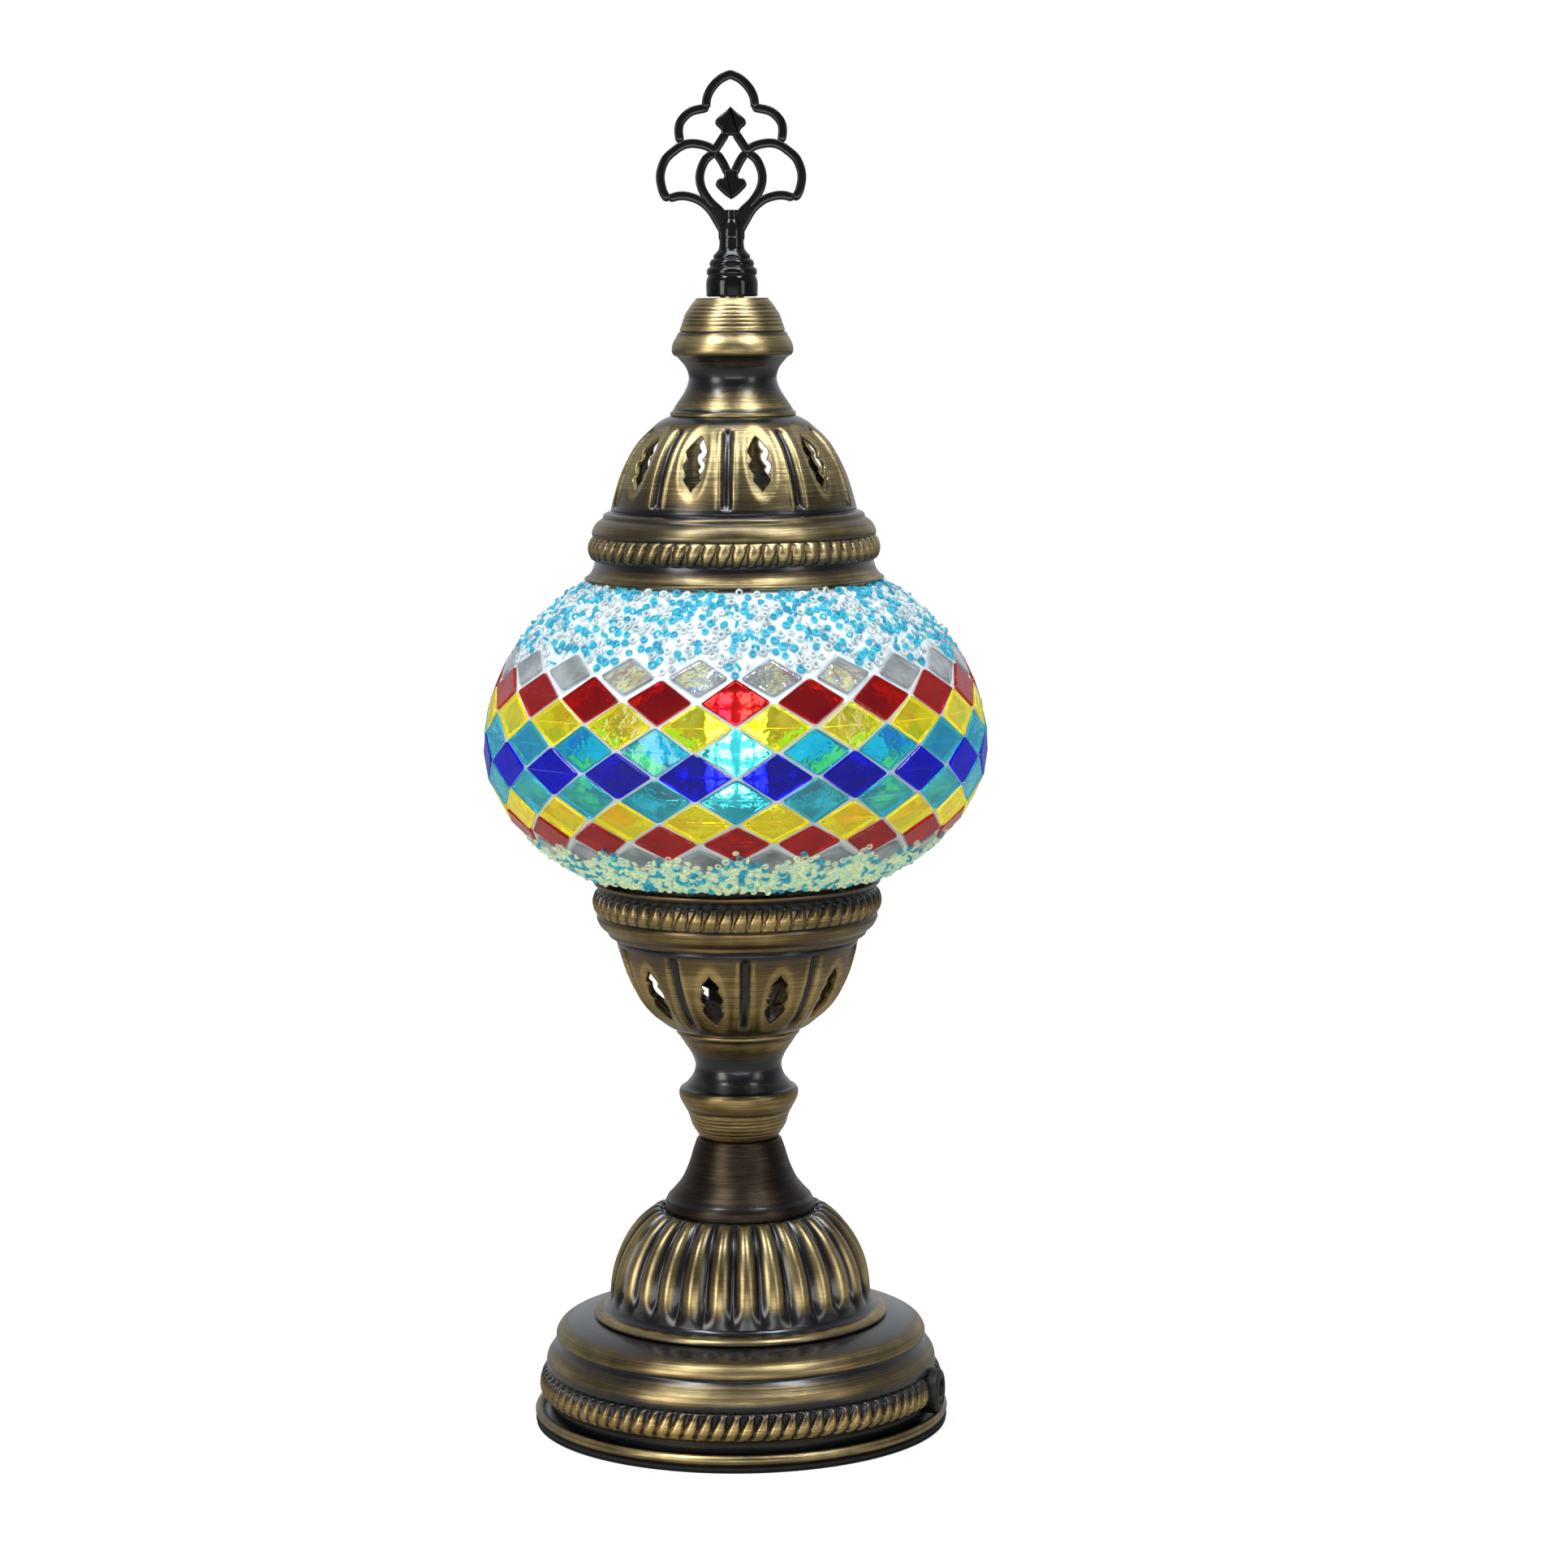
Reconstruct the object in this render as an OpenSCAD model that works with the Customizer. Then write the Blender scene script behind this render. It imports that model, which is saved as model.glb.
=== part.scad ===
// Mosaic glass table lamp: a round glass globe covered with diamond tiles and seed beads,
// held between two pierced cups of aged brass on a turned stem and a fluted base.
// Millimetres, +Z up, the origin at the centre of the underside, the front towards -Y.

/* [Globe] */
// Largest radius of the globe over its tiles
globe_r = 62.5; // [60:0.5:65]
// Height of the globe's widest point
globe_mid_z = 171.5; // [170:0.5:173]
// Height of the envelope above its widest point
globe_rise = 51; // [50:0.5:52]
// Depth of the envelope below its widest point
globe_drop = 40.5; // [40:0.5:41]
// Thickness of the glass
glass_t = 3; // [2:0.5:3.5]
// Outer radius of the globe's two necks
neck_r = 33.5; // [33:0.1:33.8]
// Thickness of the glass in its necks
neck_t = 2; // [1.5:0.1:2.5]

/* [Mosaic] */
// Tiles in each ring
tiles_per_ring = 20; // [16:1:24]
// Thickness of a tile
tile_t = 2; // [1.5:0.1:2]
// Half height of a full tile, along the globe
tile_half_h = 5.7; // [5:0.1:5.8]
// Width of a tile as a share of its place in the ring
tile_width_share = 0.87; // [0.75:0.01:0.9]
// Thickness of the grout bed under the tiles
grout_t = 0.8; // [0.5:0.1:1]

/* [Cups] */
// Wall of the stamped and spun brass parts
sheet_t = 0.9; // [0.7:0.1:1]
// Pierced openings round each cup
leaf_count = 10; // [8:1:10]
// Height of a pierced opening
leaf_h = 13.4; // [11:0.2:14]
// Width of a pierced opening
leaf_w = 5.6; // [4:0.2:6]
// Turn of the upper cup's openings from the front
cap_turn = 14.5; // [0:0.5:36]
// Turn of the lower cup's openings from the front
cup_turn = -14.3; // [-36:0.1:0]

/* [Base] */
// Flutes round the dome of the base
flute_count = 28; // [24:1:30]
// Depth of the valleys between the flutes
flute_depth = 1.7; // [1:0.1:2]
// Radius of the rolled rim
rim_r = 52.1; // [51:0.1:54]
// Turn of the cord inlet from the front, towards the right
inlet_turn = 75; // [60:1:120]
// Radius of the hole through the cord inlet
inlet_bore_r = 3.3; // [3:0.1:3.5]

/* [Rods] */
// Radius of the hollow rod that clamps the stem together
rod_r = 5; // [4.5:0.1:5]
// Radius of the hole through that rod
rod_bore_r = 3.6; // [3:0.1:3.8]
// Radius of the threaded stud in the cap
stud_r = 3; // [2.5:0.1:3]

/* [Bulb] */
// Radius of the bulb's screw cap, the 14 mm small Edison size
screw_r = 6.8; // [6.7:0.05:6.85]
// Radius of the bulb's clear cover
cover_r = 9.2; // [8:0.1:12]
// Columns of light-emitting chips round the core
chip_columns = 8; // [6:1:8]
// Chips in each column
chip_rows = 6; // [4:1:6]

/* [Finial] */
// Width of the strips of the openwork finial
strip_w = 2; // [1.6:0.1:2.2]
// Thickness of the openwork finial
fret_t = 2.4; // [2:0.1:3]

/* [Hidden] */

// Heights where the stacked parts meet
felt_top = 1.2;
tray_floor_top = 2;
dome_top = 53;
bell_seat = 71;
stem_joint = 79.2;
cup_floor = 99.9;
cap_floor = 252.8;
cap_joint = 273.5;
finial_z = 281.9;
tube_top = 303;

// Row centres of the mosaic, from the top row down
row_z = [193.5, 187.8, 182, 176.1, 170.1, 164.2, 158.6, 153.2, 148.2];
// Offsets from the envelope inwards
tile_in = 0.3 + tile_t;
bed_out = tile_in + 0.05;
bed_in = bed_out + grout_t + 0.15;
glass_in = bed_in + glass_t;

brass = "#8a7240";
brass_dark = "#4a3c22";
iron = "#23221f";
steel = "#b9bcc0";
plastic = "#f2efe6";
round_fn = 96;
small_fn = 32;

// Catmull-Rom curve through points, with n steps to each span
function blend4(a, b, c, d, t) = 0.5 * (2 * b + (c - a) * t + (2 * a - 5 * b + 4 * c - d) * t * t
    + (3 * b - a - 3 * c + d) * t * t * t);
function curve(p, n) = concat(
    [for (i = [0:len(p) - 2], k = [0:n - 1])
        blend4(p[max(i - 1, 0)], p[i], p[i + 1], p[min(i + 2, len(p) - 1)], k / n)],
    [p[len(p) - 1]]);
function along(p, i) = let (d = p[min(i + 1, len(p) - 1)] - p[max(i - 1, 0)]) d / norm(d);
// The same line moved by t to the left of its travel
function beside(p, t) = [for (i = [0:len(p) - 1]) let (d = along(p, i)) p[i] + t * [-d[1], d[0]]];
function reversed(p) = [for (i = [len(p) - 1:-1:0]) p[i]];
function lifted(p, z) = [for (q = p) q + [0, z]];
function hung(p, z) = [for (q = reversed(p)) [q[0], z - q[1]]];
function mirrored_x(p) = [for (q = p) [-q[0], q[1]]];

// A point of the globe's envelope at height z, moved inwards by t
function globe_half(z) = z > globe_mid_z ? globe_rise : globe_drop;
function globe_radius(z) = globe_r * sqrt(1 - pow((z - globe_mid_z) / globe_half(z), 2));
function globe_normal(z) = let (n = [globe_radius(z) / pow(globe_r, 2),
    (z - globe_mid_z) / pow(globe_half(z), 2)]) n / norm(n);
function globe_point(z, t) = [globe_radius(z), z] - t * globe_normal(z);
function globe_line(t, low, high, n) = [for (i = [0:n]) globe_point(low + (high - low) * i / n, t)];

// Outlines of the brass parts, from the middle of the stack outwards
cup_line = concat(curve([[15.5, 0], [18.9, 1.9], [24.2, 7.2], [27.9, 14.2], [30.3, 22.4]], 4),
    curve([[30.5, 23.1], [32.4, 24.3], [34, 26.6], [35.1, 28.9]], 2),
    curve([[35.1, 29.5], [36.2, 31], [36.2, 33], [35.2, 34.8]], 2));
cap_flange = curve([[34.9, 36], [35.4, 38.2], [37.1, 39.9]], 3);
cup_rim = [[35.2, 36], [36, 37.2], [35.9, 37.9]];
neck_line = concat(curve([[15.4, 0], [15.4, 1], [12.6, 4.9], [10.9, 9.2], [11.6, 12], [13.8, 14.6]], 3),
    curve([[14.8, 15.4], [15, 16.6], [14.5, 18.4], [13.3, 20.6]], 2));
end_cup_line = concat([[13, 0], [13, 0.5]],
    curve([[12.9, 0.8], [11.7, 3.9], [10.2, 6.2], [9.2, 7.6]], 2));

// A thin round shell under an outline that runs up the outside
module spun(line, t) {
    rotate_extrude($fn = round_fn) polygon(concat(line, reversed(beside(line, t))));
}

// An upright cylinder whose foot is at height z
module cylinder_at(r, z, h, fn = small_fn) {
    translate([0, 0, z]) cylinder(r = r, h = h, $fn = fn);
}

// A ring with a square section
module ring(r_out, r_in, z, h, fn = round_fn) {
    translate([0, 0, z]) difference() {
        cylinder(r = r_out, h = h, $fn = fn);
        translate([0, 0, -1]) cylinder(r = r_in, h = h + 2, $fn = fn);
    }
}

// A nut across corners 2r, with a plain hole
module nut(r, hole_r, z, h) {
    translate([0, 0, z]) difference() {
        cylinder(r = r, h = h, $fn = 6);
        translate([0, 0, -1]) cylinder(r = hole_r, h = h + 2, $fn = small_fn);
    }
}

/* Pierced cups */
// Outline of one opening: three lobes with a point at each end
leaf_half = [[0, 0.5], [0.2, 0.37], [0.17, 0.32], [0.4, 0.22], [0.5, 0.1], [0.36, 0.02], [0.46, -0.08],
    [0.44, -0.2], [0.26, -0.27], [0.3, -0.33], [0.18, -0.42], [0, -0.5]];

module leaf() {
    side = [for (p = leaf_half) [p[0] * leaf_w, p[1] * leaf_h]];
    polygon(concat(side, reversed(mirrored_x([for (i = [1:len(side) - 2]) side[i]]))));
}

// A cup with its openings and pressed grooves, its floor at height 0
module pierced_cup(rim, hole_r, turn) {
    groove_w = 1.6;
    groove_deep = 0.4;
    leaf_z = 10.9;
    line = concat([[hole_r, 0]], cup_line, rim);
    step = 360 / leaf_count;
    difference() {
        spun(line, sheet_t);
        for (i = [0:leaf_count - 1]) rotate([0, 0, turn - 90 + i * step])
            translate([15, 0, leaf_z]) rotate([90, 0, 90]) linear_extrude(25) leaf();
        intersection() {
            spun(beside(curve([[18.9, 1.9], [24.2, 7.2], [27.9, 14.2], [30, 21]], 3), -1),
                1 + groove_deep);
            for (i = [0:leaf_count - 1]) rotate([0, 0, turn - 90 + (i + 0.5) * step])
                translate([15, -groove_w / 2, 2.5]) cube([25, groove_w, 18]);
        }
    }
}

/* Base */
module felt_pad() {
    color(iron) ring(50.5, 14, 0, felt_top);
}

module base_tray() {
    roll = 1.1;
    floor_t = tray_floor_top - felt_top;
    color(brass_dark) {
        cylinder_at(rim_r - 2 * roll, felt_top, floor_t, round_fn);
        rotate_extrude($fn = round_fn) translate([rim_r - roll, felt_top + 1.9]) circle(roll, $fn = 24);
        ring(rim_r - roll, rim_r - 2 * roll - 0.4, felt_top, 1.4);
    }
}

// Side of the base: shoulder, two steps, a band for the rope and a plain foot
shell_line = concat([[48.3, tray_floor_top], [48.4, 6.2]],
    curve([[49.2, 6.6], [50.6, 8.6], [50.8, 11], [50.2, 13], [49.2, 14.4]], 2),
    curve([[48.7, 14.9], [48.5, 17.4], [47.9, 19.4], [46.8, 20.6]], 2),
    curve([[45.9, 21], [46.6, 22.4], [46, 24], [43.8, 25.7], [40.4, 26.7], [36.9, 26.7]], 3),
    [[33, 26.5]]);

// A hole for the inlet, turned to its place
module at_inlet() {
    inlet_z = 9.3;
    rotate([0, 0, inlet_turn - 90]) translate([0, 0, inlet_z]) rotate([0, 90, 0]) children();
}

module base_shell() {
    color(brass) difference() {
        spun(shell_line, sheet_t);
        at_inlet() translate([0, 0, 40]) cylinder(r = 4.5, h = 20, $fn = small_fn);
    }
}

// Rings of the fluted dome: radius, height and depth of the valleys
dome_outer = [[rod_r + 0.1, dome_top, 0], [19, dome_top, 0], [20.4, dome_top + 1, 0.5],
    [22.8, 53, 0.9], [26.2, 50.2, 1], [29.2, 46, 1], [31.3, 41.4, 1], [32.5, 36.6, 1],
    [33, 31.8, 0.8], [34, 29.8, 0], [35.3, 30.1, 0], [36.4, 29.4, 0], [36.5, 28.2, 0],
    [35.4, 27.4, 0]];
dome_inner = [[33.6, 27.4, 0], [32, 31.8, 0.8], [31.4, 36.6, 1], [30.2, 41.2, 1], [28.1, 45.6, 1],
    [25.2, 49.4, 1], [21, 51.8, 0.4], [rod_r + 0.1, 52, 0]];

// Radius of a flute at turn a: round ridges with sharp valleys
function fluted(ring, a) = ring[0] - ring[2] * flute_depth * (1 - abs(cos(flute_count * a / 2)));

module base_dome() {
    rings = concat(dome_outer, dome_inner);
    sides = flute_count * 4;
    points = [for (g = rings, j = [0:sides - 1]) let (a = j * 360 / sides)
        [fluted(g, a) * cos(a), fluted(g, a) * sin(a), g[1]]];
    faces = [for (i = [0:len(rings) - 1], j = [0:sides - 1])
        let (i2 = (i + 1) % len(rings), j2 = (j + 1) % sides)
        [i * sides + j, i * sides + j2, i2 * sides + j2, i2 * sides + j]];
    color(brass) rotate([0, 0, 2.9 - 90]) polyhedron(points, faces, convexity = 6);
}

// Smooth bell with a recess in its top for the end of the stem
bell_line = concat([[18.8, dome_top + 0.03], [18.8, 55.4]], curve([[18, 57.3], [15.2, 60.5], [12.6, 65.6],
    [11.1, 70.3]], 3), [[10.4, 71.7], [9.9, 72.2]]);

module base_bell() {
    color(brass_dark) {
        spun(bell_line, sheet_t);
        ring(9.6, rod_r + 0.1, bell_seat - sheet_t, sheet_t);
    }
}

module cord_inlet() {
    head_r = 4.9;
    neck_r = 4.3;
    color(iron) at_inlet() rotate_extrude($fn = 48) polygon([[inlet_bore_r, 43.5], [5.4, 43.5],
        [5.4, 45], [neck_r, 46.4], [neck_r, 50.9], [head_r, 50.9], [head_r, 51.2], [4.3, 51.9],
        [inlet_bore_r, 51.9]]);
}

/* Stem */
module centre_rod() {
    color(steel) ring(rod_r, rod_bore_r, 42, 70.5, 64);
}

module rod_nuts() {
    color(steel) {
        nut(8.1, rod_r + 0.05, 45.6, 5);
        nut(8.1, rod_r + 0.05, 102.2, 5);
    }
}

module rod_washers() {
    color(steel) {
        ring(9.5, rod_r + 0.1, 50.7, 1.2, small_fn);
        ring(9.5, rod_r + 0.1, cup_floor + sheet_t + 0.1, 1.2, small_fn);
    }
}

module stem_end_cup() {
    line = concat([[rod_r + 0.1, bell_seat], [8.6, bell_seat]], hung(end_cup_line, stem_joint - 0.05));
    color(brass) spun(line, sheet_t);
}

module stem_neck() {
    line = concat([[rod_r + 0.1, stem_joint], [12.8, stem_joint]], hung(neck_line, cup_floor - 0.05));
    color(brass) spun(line, sheet_t);
}

module lower_cup() {
    color(brass) translate([0, 0, cup_floor]) pierced_cup(cup_rim, rod_r + 0.1, cup_turn);
}

module cup_gasket() {
    color(iron) rotate_extrude($fn = round_fn)
        polygon([[31, 128.9], [33.6, 128.9], [34.1, 130.7], [31, 130.7]]);
}

/* Lampholder */
holder_z = 107.4;

module holder_base() {
    color(iron) rotate_extrude($fn = 64) polygon([[rod_r + 0.05, holder_z], [7.4, holder_z],
        [7.4, 110], [12.4, 112.4], [13.6, 114], [13.6, 123], [12.1, 123], [12.1, 114.6],
        [rod_r + 0.05, 114.6]]);
}

module holder_sleeve() {
    color(iron) rotate_extrude($fn = 64) polygon([[9.3, 123], [13.6, 123], [13.6, 126], [12.6, 127],
        [12.4, 148], [11.6, 149], [7.6, 149], [7.6, 147.4], [9.3, 147.4]]);
}

module holder_insert() {
    color(plastic) difference() {
        union() {
            cylinder_at(11.9, 116.6, 5);
            cylinder_at(9.1, 121.6, 3);
        }
        for (x = [-7, 7]) translate([x, 0, 116]) cylinder(r = 1.05, h = 10, $fn = small_fn);
    }
}

module holder_screw_shell() {
    color(steel) ring(7.3, screw_r + 0.06, 126.6, 19, 64);
}

module holder_centre_contact() {
    color("#c8a24a") translate([-1.5, -3, 124.7]) cube([3, 6, 0.5]);
    color("#c8a24a") translate([-1.5, -3, 125.2]) cube([3, 1, 1.4]);
    color("#c8a24a") translate([-1.5, -3, 126.6]) cube([3, 5, 0.4]);
}

module holder_side_contact() {
    color("#c8a24a") translate([7.35, -2, 124.7]) cube([0.5, 4, 10]);
}

module holder_terminal_screws() {
    color(steel) for (x = [-7, 7]) {
        translate([x, 0, 115]) cylinder(r = 2, h = 1.5, $fn = small_fn);
        translate([x, 0, 116.5]) cylinder(r = 1, h = 4.5, $fn = small_fn);
    }
}

/* Wiring inside the base and stem */
block_x = -22;
block_z = 2.1;

module terminal_block() {
    color(plastic) translate([block_x - 9, -8, block_z]) difference() {
        cube([18, 16, 9]);
        for (y = [4, 12]) {
            translate([-1, y, 4]) rotate([0, 90, 0]) cylinder(r = 1.6, h = 20, $fn = small_fn);
            for (x = [5, 13]) translate([x, y, 4]) cylinder(r = 1.3, h = 6, $fn = small_fn);
        }
    }
}

module terminal_screws() {
    color(steel) for (x = [-4, 4], y = [-4, 4])
        translate([block_x + x, y, block_z + 5.8]) cylinder(r = 1.2, h = 3, $fn = small_fn);
}

// A round lead swept along its own route
module lead(route, r) {
    sides = 8;
    path = curve(route, 3);
    n = len(path);
    ahead = [for (i = [0:n - 1]) let (d = path[min(i + 1, n - 1)] - path[max(i - 1, 0)]) d / norm(d)];
    across = [for (d = ahead) let (c = cross(d, [0, 1, 0])) c / norm(c)];
    points = [for (i = [0:n - 1], j = [0:sides - 1]) let (a = j * 360 / sides)
        path[i] + r * (cos(a) * across[i] + sin(a) * cross(ahead[i], across[i]))];
    sleeve = [for (i = [0:n - 2], j = [0:sides - 1]) let (j2 = (j + 1) % sides)
        [i * sides + j, (i + 1) * sides + j, (i + 1) * sides + j2, i * sides + j2]];
    ends = [[for (j = [0:sides - 1]) j], [for (j = [sides - 1:-1:0]) (n - 1) * sides + j]];
    polyhedron(points, concat(sleeve, ends), convexity = 4);
}

module lead_from_block(y, rod_x, end_x) {
    lead([[-16, y, 6.1], [-10, y, 6.2], [-4, y * 0.8, 10], [rod_x * 0.7, y * 0.5, 22],
        [rod_x, 0, 40], [rod_x, 0, 76], [rod_x, 0, 111.6], [rod_x * 1.06, 0, 113.6],
        [rod_x * 1.45, 0, 115], [end_x * 0.7, 0, 115.6], [end_x, 0, 115.6]], 0.9);
}

module live_lead() {
    color("#7a4a26") lead_from_block(4, 1.6, 4.8);
}

module neutral_lead() {
    color("#2f5f9e") lead_from_block(-4, -1.6, -4.8);
}

/* Bulb */
module bulb_cover() {
    color("#dfe8ee", 0.4) rotate_extrude($fn = 64) polygon(concat([[cover_r, 157], [cover_r, 186.5]],
        curve([[8.9, 188.2], [6.6, 190.3], [0, 191]], 2),
        [[0, 190.1], [6, 189.4], [cover_r - 0.9, 187], [cover_r - 0.9, 157]]));
}

module bulb_housing() {
    color(plastic) rotate_extrude($fn = 64) polygon([[0, 146.7], [7.3, 146.7], [7.3, 149.4],
        [8.6, 151], [9.4, 156.9], [0, 156.9]]);
}

module bulb_screw_cap() {
    color(steel) ring(screw_r, screw_r - 0.5, 131.4, 15.2, 64);
}

module bulb_insulator() {
    color(iron) rotate_extrude($fn = 64) polygon([[0, 128.7], [2.6, 128.7], [5.6, 131.3],
        [screw_r - 0.55, 131.5], [screw_r - 0.55, 133], [0, 133]]);
}

module bulb_tip_contact() {
    color("#c8a24a") cylinder_at(2.4, 127.6, 1.05);
}

module led_core() {
    color("#fffbe8") cylinder_at(6.2, 157, 30.5, 64);
}

module led_chips() {
    pitch_z = 4.4;
    mid_z = 172;
    color("#fff3b0") for (i = [0:chip_columns - 1], k = [0:chip_rows - 1])
        rotate([0, 0, (i + 0.5) * 360 / chip_columns])
            translate([6.3, -1.4, mid_z + (k - (chip_rows - 1) / 2) * pitch_z - 1.4])
                cube([0.9, 2.8, 2.8]);
}

/* Globe and mosaic */
module globe_glass() {
    shoulder = globe_line(bed_in, 137.8, 213.7, 24);
    hollow = globe_line(glass_in, 137.6, 214, 24);
    color("#e8eef0", 0.5) rotate_extrude($fn = round_fn) polygon(concat(
        [[neck_r - neck_t, 131], [neck_r, 131]], shoulder, [[neck_r, 219], [neck_r - neck_t, 219]],
        reversed(hollow)));
}

module grout_bed() {
    outer = globe_line(bed_out, 139.4, 211.4, 24);
    color("#eef0ee") spun(outer, grout_t);
}

module tile(half_w, half_h) {
    linear_extrude(tile_t) polygon([[-half_h, 0], [0, -half_w], [half_h, 0], [0, half_w]]);
}

// One ring of tiles: every second ring is turned by half a tile
module tile_ring(row) {
    z = row_z[row];
    seat = globe_point(z, tile_in);
    n = globe_normal(z);
    edge_row = row == 0 || row == len(row_z) - 1;
    share = edge_row ? tile_width_share * 0.9 : tile_width_share;
    half_h = edge_row ? tile_half_h * 0.86 : tile_half_h;
    half_w = PI * globe_radius(z) / tiles_per_ring * share;
    step = 360 / tiles_per_ring;
    for (i = [0:tiles_per_ring - 1]) rotate([0, 0, (i + (row % 2 == 0 ? 0.5 : 0)) * step])
        translate([seat[0], 0, seat[1]]) rotate([0, atan2(n[0], n[1]), 0]) tile(half_w, half_h);
}

module tiles_1_clear() {
    color("#d8dcdc", 0.7) tile_ring(0);
}

module tiles_2_red() {
    color("#8e0f1c") tile_ring(1);
}

module tiles_3_yellow() {
    color("#e0cf10") tile_ring(2);
}

module tiles_4_turquoise() {
    color("#1796a8") tile_ring(3);
}

module tiles_5_navy() {
    color("#101a8c") tile_ring(4);
}

module tiles_6_turquoise() {
    color("#1796a8") tile_ring(5);
}

module tiles_7_yellow() {
    color("#e0cf10") tile_ring(6);
}

module tiles_8_red() {
    color("#8e0f1c") tile_ring(7);
}

module tiles_9_clear() {
    color("#d8dcdc", 0.7) tile_ring(8);
}

// The band of seed beads between the tiles and a metal cup
module bead_band(low, high, shade) {
    color(shade) spun(globe_line(0.2, low, high, 8), bed_out - 0.25);
}

module beads_upper() {
    bead_band(199.6, 211, "#7cc6dc");
}

module beads_lower() {
    bead_band(139.9, 143, "#b5d8c4");
}

/* Cap */
module cap_dome() {
    color(brass) translate([0, 0, cap_floor]) mirror([0, 0, 1]) pierced_cup(cap_flange, stud_r + 0.1,
        cap_turn);
}

module cap_neck() {
    line = concat(lifted(neck_line, cap_floor), [[12.8, cap_joint], [stud_r + 0.1, cap_joint]]);
    color(brass) spun(line, sheet_t);
}

module cap_end_cup() {
    line = concat(lifted(end_cup_line, cap_joint + 0.1),
        [[8.8, finial_z - 0.3], [stud_r + 0.1, finial_z - 0.3]]);
    color(brass) spun(line, sheet_t);
}

module cap_stud() {
    color(steel) cylinder_at(stud_r, 218, 71, 48);
}

module cap_nuts() {
    color(steel) {
        nut(5.8, stud_r + 0.05, 219.4, 4);
        nut(5.8, stud_r + 0.05, 224.7, 4);
        nut(5.8, stud_r + 0.05, cap_floor - sheet_t - 4.1, 4);
        nut(5.8, stud_r + 0.05, cap_joint + 0.1, 4);
    }
}

// Three sprung legs that grip the mouth of the globe
module clip_spider() {
    leg_r = 31;
    leg_w = 8;
    hub_z = 223.5;
    color(steel) difference() {
        union() {
            cylinder_at(9, hub_z, 1.1, small_fn);
            for (a = [30, 150, 270]) rotate([0, 0, a]) {
                translate([5, -leg_w / 2, hub_z]) cube([leg_r - 5, leg_w, 1.1]);
                translate([leg_r - 1, -leg_w / 2, 209]) cube([1, leg_w, hub_z - 208]);
                translate([leg_r - 1.9, -leg_w / 2, 205]) cube([1, leg_w, 4.2]);
            }
        }
        cylinder_at(stud_r + 0.1, hub_z - 1, 4, small_fn);
    }
}

/* Finial */
collar_line = concat([[6.3, finial_z], [6.35, 285.4], [5.9, 286.9]],
    curve([[6, 287.2], [6, 288.4], [5.4, 289.2]], 2), curve([[5.5, 289.6], [5.2, 290.7], [4.6, 291.1]], 2),
    curve([[4.6, 291.4], [4.2, 292.3], [3.3, 293.3], [3, 294.6]], 2), [[3, 297]]);

module finial_collar() {
    color(iron) rotate_extrude($fn = 64) polygon(concat([[stud_r + 0.05, finial_z]], collar_line,
        [[2.05, 297], [2.05, 291.2], [stud_r + 0.05, 290.2]]));
}

// A strip of even width along a curve, drawn in the plane of the finial
module strip(points) {
    line = curve(points, 4);
    polygon(concat(beside(line, strip_w / 2), reversed(beside(line, -strip_w / 2))));
}

module spade(half) {
    polygon(concat(half, reversed(mirrored_x(half))));
}

// The right half of the openwork: lobes, branches and the ring of the heart
module fret_half() {
    strip([[0, 335.7], [2.4, 334.6], [4.5, 332.5], [5.7, 330.1], [6, 327.3]]);
    strip([[5.3, 327.7], [9.6, 326.8], [12.1, 324.5], [12.7, 322.1], [12.3, 319.2]]);
    strip([[3.4, 316.6], [4.6, 317.8], [6.7, 318.7], [9.4, 319.1], [11.6, 318.7], [13.6, 317.5],
        [16.1, 315.1], [17.3, 311.4], [16.7, 307.6], [15.3, 305.3]]);
    strip([[0.6, 311.4], [2, 314.4], [3.7, 317]]);
    strip([[4.6, 316.4], [2.7, 319.2], [1, 321.8]]);
    strip([[3.9, 317], [6.3, 315], [7.6, 311.6], [7.2, 308.3], [5.3, 305.1], [2.3, 302], [1.4, 298]]);
    strip([[15.5, 305.7], [13, 306.4], [10.6, 306.3], [7.8, 305.3], [5.3, 303.2], [3.5, 300.4],
        [1.9, 297.5]]);
}

module fret_outline() {
    fret_half();
    mirror([1, 0]) fret_half();
    spade([[0, 328], [1.3, 326.7], [2.9, 325.5], [3.7, 324.5], [3.6, 323.5], [2.4, 322.3],
        [2.2, 320.9]]);
    spade([[1.7, 312.8], [1.8, 310.8], [3.1, 310.5], [3.8, 309], [2.7, 307.6], [1.4, 306.4],
        [0, 305.5]]);
    polygon([[-2.9, 297], [2.9, 297], [3.2, 300], [2.6, 302], [-2.6, 302], [-3.2, 300]]);
}

module finial_fret() {
    color(iron) {
        translate([0, fret_t / 2, 0]) rotate([90, 0, 0]) linear_extrude(fret_t) fret_outline();
        cylinder_at(2.9, 297, tube_top - 297, 48);
        cylinder_at(2, 291.4, 5.7, 48);
    }
}

felt_pad();
base_tray();
base_shell();
base_dome();
base_bell();
cord_inlet();
centre_rod();
rod_nuts();
rod_washers();
stem_end_cup();
stem_neck();
lower_cup();
cup_gasket();
holder_base();
holder_sleeve();
holder_insert();
holder_screw_shell();
holder_centre_contact();
holder_side_contact();
holder_terminal_screws();
terminal_block();
terminal_screws();
live_lead();
neutral_lead();
bulb_cover();
bulb_housing();
bulb_screw_cap();
bulb_insulator();
bulb_tip_contact();
led_core();
led_chips();
globe_glass();
grout_bed();
tiles_1_clear();
tiles_2_red();
tiles_3_yellow();
tiles_4_turquoise();
tiles_5_navy();
tiles_6_turquoise();
tiles_7_yellow();
tiles_8_red();
tiles_9_clear();
beads_upper();
beads_lower();
cap_dome();
cap_neck();
cap_end_cup();
cap_stud();
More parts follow.
